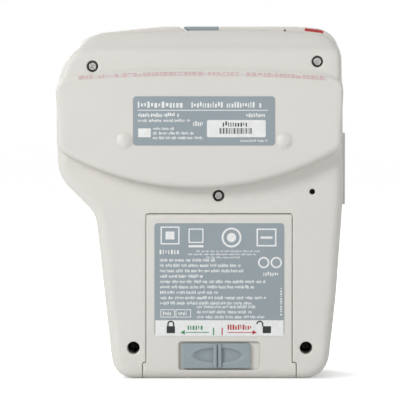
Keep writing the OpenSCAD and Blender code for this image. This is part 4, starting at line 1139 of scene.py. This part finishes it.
def window(name, low, high):
    """Display window: a dark border, and behind it the grey-green screen with fine dots."""
    mat = Material(name)
    x, z = mat.axis(0), mat.axis(2)
    border = 0.0042
    past = []
    for place, a, b in ((x, low.x, high.x), (z, low.z, high.z)):
        offset = mat.calc("ABSOLUTE", mat.sub(place, (a + b) / 2))
        past.append(mat.sub(offset, (b - a) / 2 - border))
    inside = mat.remap(mat.calc("MAXIMUM", *past), (0.0001, -0.0001))
    dots = mat.mul(mat.remap(mat.wave(scale=1100, direction="X"), (0.06, 0.2)),
                   mat.remap(mat.wave(scale=1100, direction="Z"), (0.06, 0.2)))
    haze = mat.noise(scale=24, detail=3.0)
    screen = mat.mix(dots, (0.095, 0.115, 0.070), (0.150, 0.180, 0.105))
    screen = mat.mix(mat.remap(haze, (0.35, 0.7), to=(0.0, 0.35)), screen, (0.19, 0.22, 0.15))
    speck = mat.noise(scale=1300, detail=2.0)
    rim = mat.mix(mat.remap(speck, (0.4, 0.75)), (0.012, 0.013, 0.015), (0.022, 0.024, 0.027))
    smears = mat.noise(scale=150, detail=4.0)
    mat.set(Base_Color=mat.mix(inside, rim, screen),
            Roughness=mat.remap(smears, (0.3, 0.75), to=(0.07, 0.17)),
            Normal=mat.bump(haze, strength=0.05, distance=0.0002),
            Coat_Weight=0.9, Coat_Roughness=0.06)
    return mat.data


def battery_sleeve(name):
    """Black body, copper-coloured shoulder band, bright steel ends."""
    mat = Material(name)
    z = mat.axis(2, mat.generated)
    fine = mat.noise(scale=700, detail=3.0)
    band = mat.remap(z, (0.745, 0.75))
    cap = mat.calc("MAXIMUM", mat.remap(z, (0.962, 0.966)), mat.remap(z, (0.022, 0.018)))
    rim = mat.mul(mat.remap(z, (0.725, 0.728)), mat.remap(z, (0.740, 0.737)))
    col = mat.mix(mat.remap(fine, (0.3, 0.7)), (0.014, 0.014, 0.016), (0.024, 0.024, 0.027))
    copper = mat.mix(mat.remap(fine, (0.3, 0.7)), (0.42, 0.20, 0.095), (0.50, 0.25, 0.125))
    col = mat.mix(band, col, copper)
    col = mat.mix(rim, col, (0.75, 0.74, 0.72))
    col = mat.mix(cap, col, (0.62, 0.61, 0.60))
    mat.set(Base_Color=col, Metallic=mat.calc("MAXIMUM", mat.mul(band, 0.85), cap),
            Roughness=mat.remap(fine, (0.3, 0.75), to=(0.24, 0.38)), Coat_Weight=0.3,
            Normal=mat.bump(mat.noise(scale=60, detail=2.0), strength=0.12, distance=0.0003))
    return mat.data


def light_lens(name):
    """Diffusing lenses, green, amber and red from the top down, with milky cells."""
    mat = Material(name)
    z = mat.axis(2)
    col = mat.mix(mat.remap(z, (0.0737, 0.0738)), (0.34, 0.035, 0.03), (0.44, 0.24, 0.03))
    col = mat.mix(mat.remap(z, (0.0792, 0.0793)), col, (0.10, 0.33, 0.09))
    cell = mat.voronoi(scale=1700)
    col = mat.mix(mat.remap(cell, (0.0, 0.6), to=(0.25, 0.0)), col, (0.85, 0.85, 0.8))
    mat.set(Base_Color=col, Coat_Weight=0.5,
            Roughness=mat.remap(mat.noise(scale=600), (0.3, 0.7), to=(0.16, 0.28)),
            Normal=mat.bump(cell, strength=0.2, distance=0.00006))
    return mat.data


WINDOW_LOW, WINDOW_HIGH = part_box("display_window")
KEY_RUBBER = dict(roughness=0.58, grain=1700, edge=0.2, sheen=0.15)
# Material name: its builder and the builder's arguments
LOOKS = {
    "case_plastic": (moulded, dict(base=(0.735, 0.718, 0.672), roughness=0.46,
                                   grain_depth=0.30, grime_and_shade_amount=0.26)),
    "latch_plastic": (moulded, dict(base=(0.320, 0.378, 0.408), roughness=0.42, grain=2600,
                                    grain_depth=0.22, grime_and_shade_colour=(0.10, 0.11, 0.12), edge=0.30)),
    "dark_plastic": (moulded, dict(base=(0.020, 0.021, 0.023), grain=2000, grain_depth=0.35,
                                   tone=0.06, grime_and_shade_colour=(0.06, 0.055, 0.05), grime_and_shade_amount=0.4,
                                   edge=0.3)),
    "frame_plastic": (moulded, dict(base=(0.048, 0.051, 0.057), roughness=0.52, grain=1600,
                                    grain_depth=0.4, tone=0.06, grime_and_shade_colour=(0.10, 0.09, 0.08),
                                    grime_and_shade_amount=0.4, edge=0.3, fibre=0.35)),
    "natural_plastic": (moulded, dict(base=(0.70, 0.69, 0.63), roughness=0.36, grain=1500,
                                      grain_depth=0.12, tone=0.025, grime_and_shade_colour=(0.33, 0.31, 0.27),
                                      coat=0.1)),
    "gear_plastic": (moulded, dict(base=(0.60, 0.54, 0.38), roughness=0.38, grain=1500,
                                   grain_depth=0.15, tone=0.035, grime_and_shade_colour=(0.20, 0.17, 0.11),
                                   coat=0.1)),
    "label_film": (film, dict(base=(0.315, 0.370, 0.400))),
    "clear_film": (film, dict(base=(0.72, 0.66, 0.655), roughness=0.25, coat=0.5)),
    "red_film": (film, dict(base=(0.46, 0.025, 0.02), roughness=0.3, coat=0.4)),
    "window": (window, dict(low=WINDOW_LOW, high=WINDOW_HIGH)),
    "steel": (metal, dict(base=(0.50, 0.50, 0.51), roughness=0.30, brush=(1, 1, 22))),
    "nickel": (metal, dict(base=(0.62, 0.60, 0.57), roughness=0.20, brush=(1, 1, 8),
                           brush_depth=0.06)),
    "motor_can": (metal, dict(base=(0.42, 0.42, 0.44), roughness=0.36, brush=(40, 1, 1),
                              brush_depth=0.2, tarnish=(0.22, 0.21, 0.17))),
    "gasket_rubber": (moulded, dict(base=(0.016, 0.016, 0.016), roughness=0.72, grain=1200,
                                    grain_depth=0.3, tone=0.05, grime_and_shade_colour=(0.07, 0.065, 0.06),
                                    edge=0.2, sheen=0.2)),
    "board": (circuit_board, {}),
    "cell_wrap": (battery_sleeve, {}),
    "light_lens": (light_lens, {}),
    "key_rubber": (moulded, dict(KEY_RUBBER, base=(0.345, 0.385, 0.405), tone=0.02,
                                 grime_and_shade_colour=(0.12, 0.13, 0.13))),
    "run_key": (moulded, dict(KEY_RUBBER, base=(0.035, 0.195, 0.062), tone=0.03,
                              grime_and_shade_colour=(0.02, 0.06, 0.03))),
    "stop_key": (moulded, dict(KEY_RUBBER, base=(0.34, 0.020, 0.016), tone=0.03,
                               grime_and_shade_colour=(0.08, 0.02, 0.02))),
    "white_ink": (ink, dict(base=(0.90, 0.91, 0.90))),
    "black_ink": (ink, dict(base=(0.030, 0.034, 0.036))),
    "green_ink": (ink, dict(base=(0.06, 0.30, 0.13))),
    "red_ink": (ink, dict(base=(0.52, 0.045, 0.045))),
    "case_screw": (screw_metal, {}),
    "pink_ink": (ink, dict(base=(0.66, 0.36, 0.36))),
}
MADE = {}


def paint(ob, look):
    """Give every slot of an object one look, made on first use."""
    if look not in MADE:
        build, arguments = LOOKS[look]
        MADE[look] = build(look, **arguments)
    if len(ob.data.materials) == 0:
        ob.data.materials.append(MADE[look])
    for slot in ob.material_slots:
        slot.link = "OBJECT"
        slot.material = MADE[look]


for ob in SHELLS:
    paint(ob, ob["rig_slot"])
for ob in KEY_CAPS + PRINTS:
    paint(ob, ob["look"])

# ------------------------------------------------------------------ CAD nodes kept as they are
SLOT_OF = {part["node"]: part["material_slot"] for part in frame["record"]["subparts"]}
# Edge bevel widths, mm; 0 leaves the edges sharp
DEFAULT_BEVEL = 0.12
BEVEL = {
    "rating_label": 0.03, "battery_label": 0.03, "seal_tape": 0.02, "flow_mark": 0.03,
    "case_screws": 0.10, "camshaft": 0.08, "cam_gear": 0.05, "motor_pinion": 0.04,
    "encoder_disc": 0.05, "battery_contacts": 0.0, "chassis_screws": 0.08, "chassis": 0.2,
    "port_panel": 0.25, "display_window": 0.2, "platen": 0.25, "pump_motor": 0.2,
    "battery_tray": 0.2, "case_gasket": 0.06, "main_board": 0.05,
}


def soften_edges(ob, width):
    weld = ob.modifiers.new("weld", "WELD")
    weld.merge_threshold = 2e-6
    bevel = ob.modifiers.new("soft_edge", "BEVEL")
    bevel.width = width * MM
    bevel.segments = 2
    bevel.limit_method = "ANGLE"
    bevel.angle_limit = math.radians(32)
    bevel.use_clamp_overlap = True
    normals = ob.modifiers.new("shade", "WEIGHTED_NORMAL")
    normals.keep_sharp = False
    normals.weight = 60


for name, ob in frame["nodes"].items():
    if ob.hide_render:
        continue
    paint(ob, "case_screw" if name == "case_screws" else SLOT_OF[name])
    width = BEVEL.get(name, DEFAULT_BEVEL)
    if width:
        soften_edges(ob, width)


# ------------------------------------------------------------------ floor, metres
def floor_paper():
    """Pale paper, evenly bright to the camera but throwing no light of its own, except for a
    painted contact shadow under the pump, where its glow is weaker.
    """
    mat = Material("floor_paper")
    fine = mat.noise(scale=700, detail=3.0)
    mat.set(Base_Color=mat.mix(mat.remap(fine, (0.3, 0.7)), (0.86, 0.86, 0.865),
                               (0.88, 0.88, 0.885)),
            Roughness=0.75, Normal=mat.bump(fine, strength=0.05, distance=0.0001))
    seen = mat.node("ShaderNodeLightPath").outputs["Is Camera Ray"]
    # painted contact shadow: the glow weakens under the pump; its half sizes and x shift, and the
    # fade's width
    half_x, half_y, shift_x, painted_shadow_fade = 0.036, 0.019, 0.007, 0.022
    off_x = mat.calc("ABSOLUTE", mat.add(mat.axis(0), shift_x))
    off_x = mat.calc("MAXIMUM", mat.sub(off_x, half_x), 0.0)
    off_y = mat.calc("MAXIMUM", mat.sub(mat.calc("ABSOLUTE", mat.axis(1)), half_y), 0.0)
    off = mat.calc("SQRT", mat.add(mat.mul(off_x, off_x), mat.mul(off_y, off_y)))
    full_glow = 0.68
    # painted shadow: right under the pump only 0.45 of the glow is left
    glow = mat.mul(mat.remap(off, (0.0, painted_shadow_fade), to=(0.45, 1.0)), full_glow)
    mat.set(Emission_Color=(1.0, 1.0, 1.0), Emission_Strength=mat.mul(seen, glow))
    return mat.data


def make_floor(radius=2.6, rise=2.0, segments=96, rim_steps=12):
    """A round floor whose far rim sweeps up, so that no horizon shows."""
    profile = [(0.4, 0.0), (0.9, 0.0), (radius, 0.0)]
    for i in range(1, rim_steps + 1):
        t = math.radians(90 * i / rim_steps)
        profile.append((radius + rise * math.sin(t), rise - rise * math.cos(t)))
    profile.append((radius + rise, rise + 1.5))
    vertices = [(0, 0, 0)]
    for r, z in profile:
        for k in range(segments):
            turn = 2 * math.pi * k / segments
            vertices.append((r * math.cos(turn), r * math.sin(turn), z))
    faces = [(0, 1 + k, 1 + (k + 1) % segments) for k in range(segments)]
    for j in range(len(profile) - 1):
        a, b = 1 + j * segments, 1 + (j + 1) * segments
        for k in range(segments):
            after = (k + 1) % segments
            faces.append((a + k, b + k, b + after, a + after))
    mesh = bpy.data.meshes.new("floor")
    mesh.from_pydata(vertices, [], faces)
    mesh.polygons.foreach_set("use_smooth", [True] * len(mesh.polygons))
    ob = add_object("floor", mesh)
    ob.data.materials.append(floor_paper())


make_floor()

# ------------------------------------------------------------------ lights
scene = bpy.context.scene
world = scene.world or bpy.data.worlds.new("studio")
scene.world = world
world.use_nodes = True
background = (world.node_tree.nodes.get("Background")
              or world.node_tree.nodes.new("ShaderNodeBackground"))
background.inputs["Color"].default_value = (1.0, 1.0, 1.0, 1.0)
background.inputs["Strength"].default_value = 0.34

# name, place, height aimed at on the z axis, width and height (all metres), watts
LIGHTS = [
    ("key", (1.15, 1.15, 0.80), 0.06, (0.75, 0.65), 16.6),
    ("fill", (-0.9, 1.0, 0.35), 0.06, (0.9, 0.8), 2.6),
    ("top", (0.15, -0.05, 1.3), 0.05, (1.0, 1.0), 2.2),
    ("front_a", (0.7, -1.0, 0.8), 0.06, (0.7, 0.6), 8.0),
    ("front_b", (-0.8, -0.9, 0.5), 0.06, (0.8, 0.8), 2.4),
]
for name, place, aim_z, size, power in LIGHTS:
    light = bpy.data.lights.new(name, "AREA")
    light.shape = "RECTANGLE"
    light.size, light.size_y = size
    light.energy = power
    ob = add_object(name, light)
    ob.location = place
    aim = Vector((0, 0, aim_z)) - Vector(place)
    ob.rotation_euler = aim.to_track_quat("-Z", "Y").to_euler()

scene.view_settings.view_transform = "Standard"
scene.view_settings.look = "None"
scene.view_settings.exposure = 0.0
scene.view_settings.gamma = 1.0

# ------------------------------------------------------------------ camera, facing the rear
CAMERA_DISTANCE = 1.2          # metres
CAMERA_RISE = math.radians(1.8)
VIEW_WIDTH = 142.0             # mm seen across at the target
SENSOR_WIDTH = 36.0
camera = bpy.data.cameras.new("camera")
camera_ob = add_object("camera", camera)
target = Vector((0.00053, 0.012, 0.0628))
camera_ob.location = (target + Vector((0, math.cos(CAMERA_RISE), math.sin(CAMERA_RISE)))
                      * CAMERA_DISTANCE)
camera_ob.rotation_euler = (target - camera_ob.location).to_track_quat("-Z", "Y").to_euler()
camera.sensor_width = SENSOR_WIDTH
camera.lens = SENSOR_WIDTH * CAMERA_DISTANCE * 1000 / VIEW_WIDTH
camera.clip_start, camera.clip_end = 0.01, 50.0
scene.camera = camera_ob
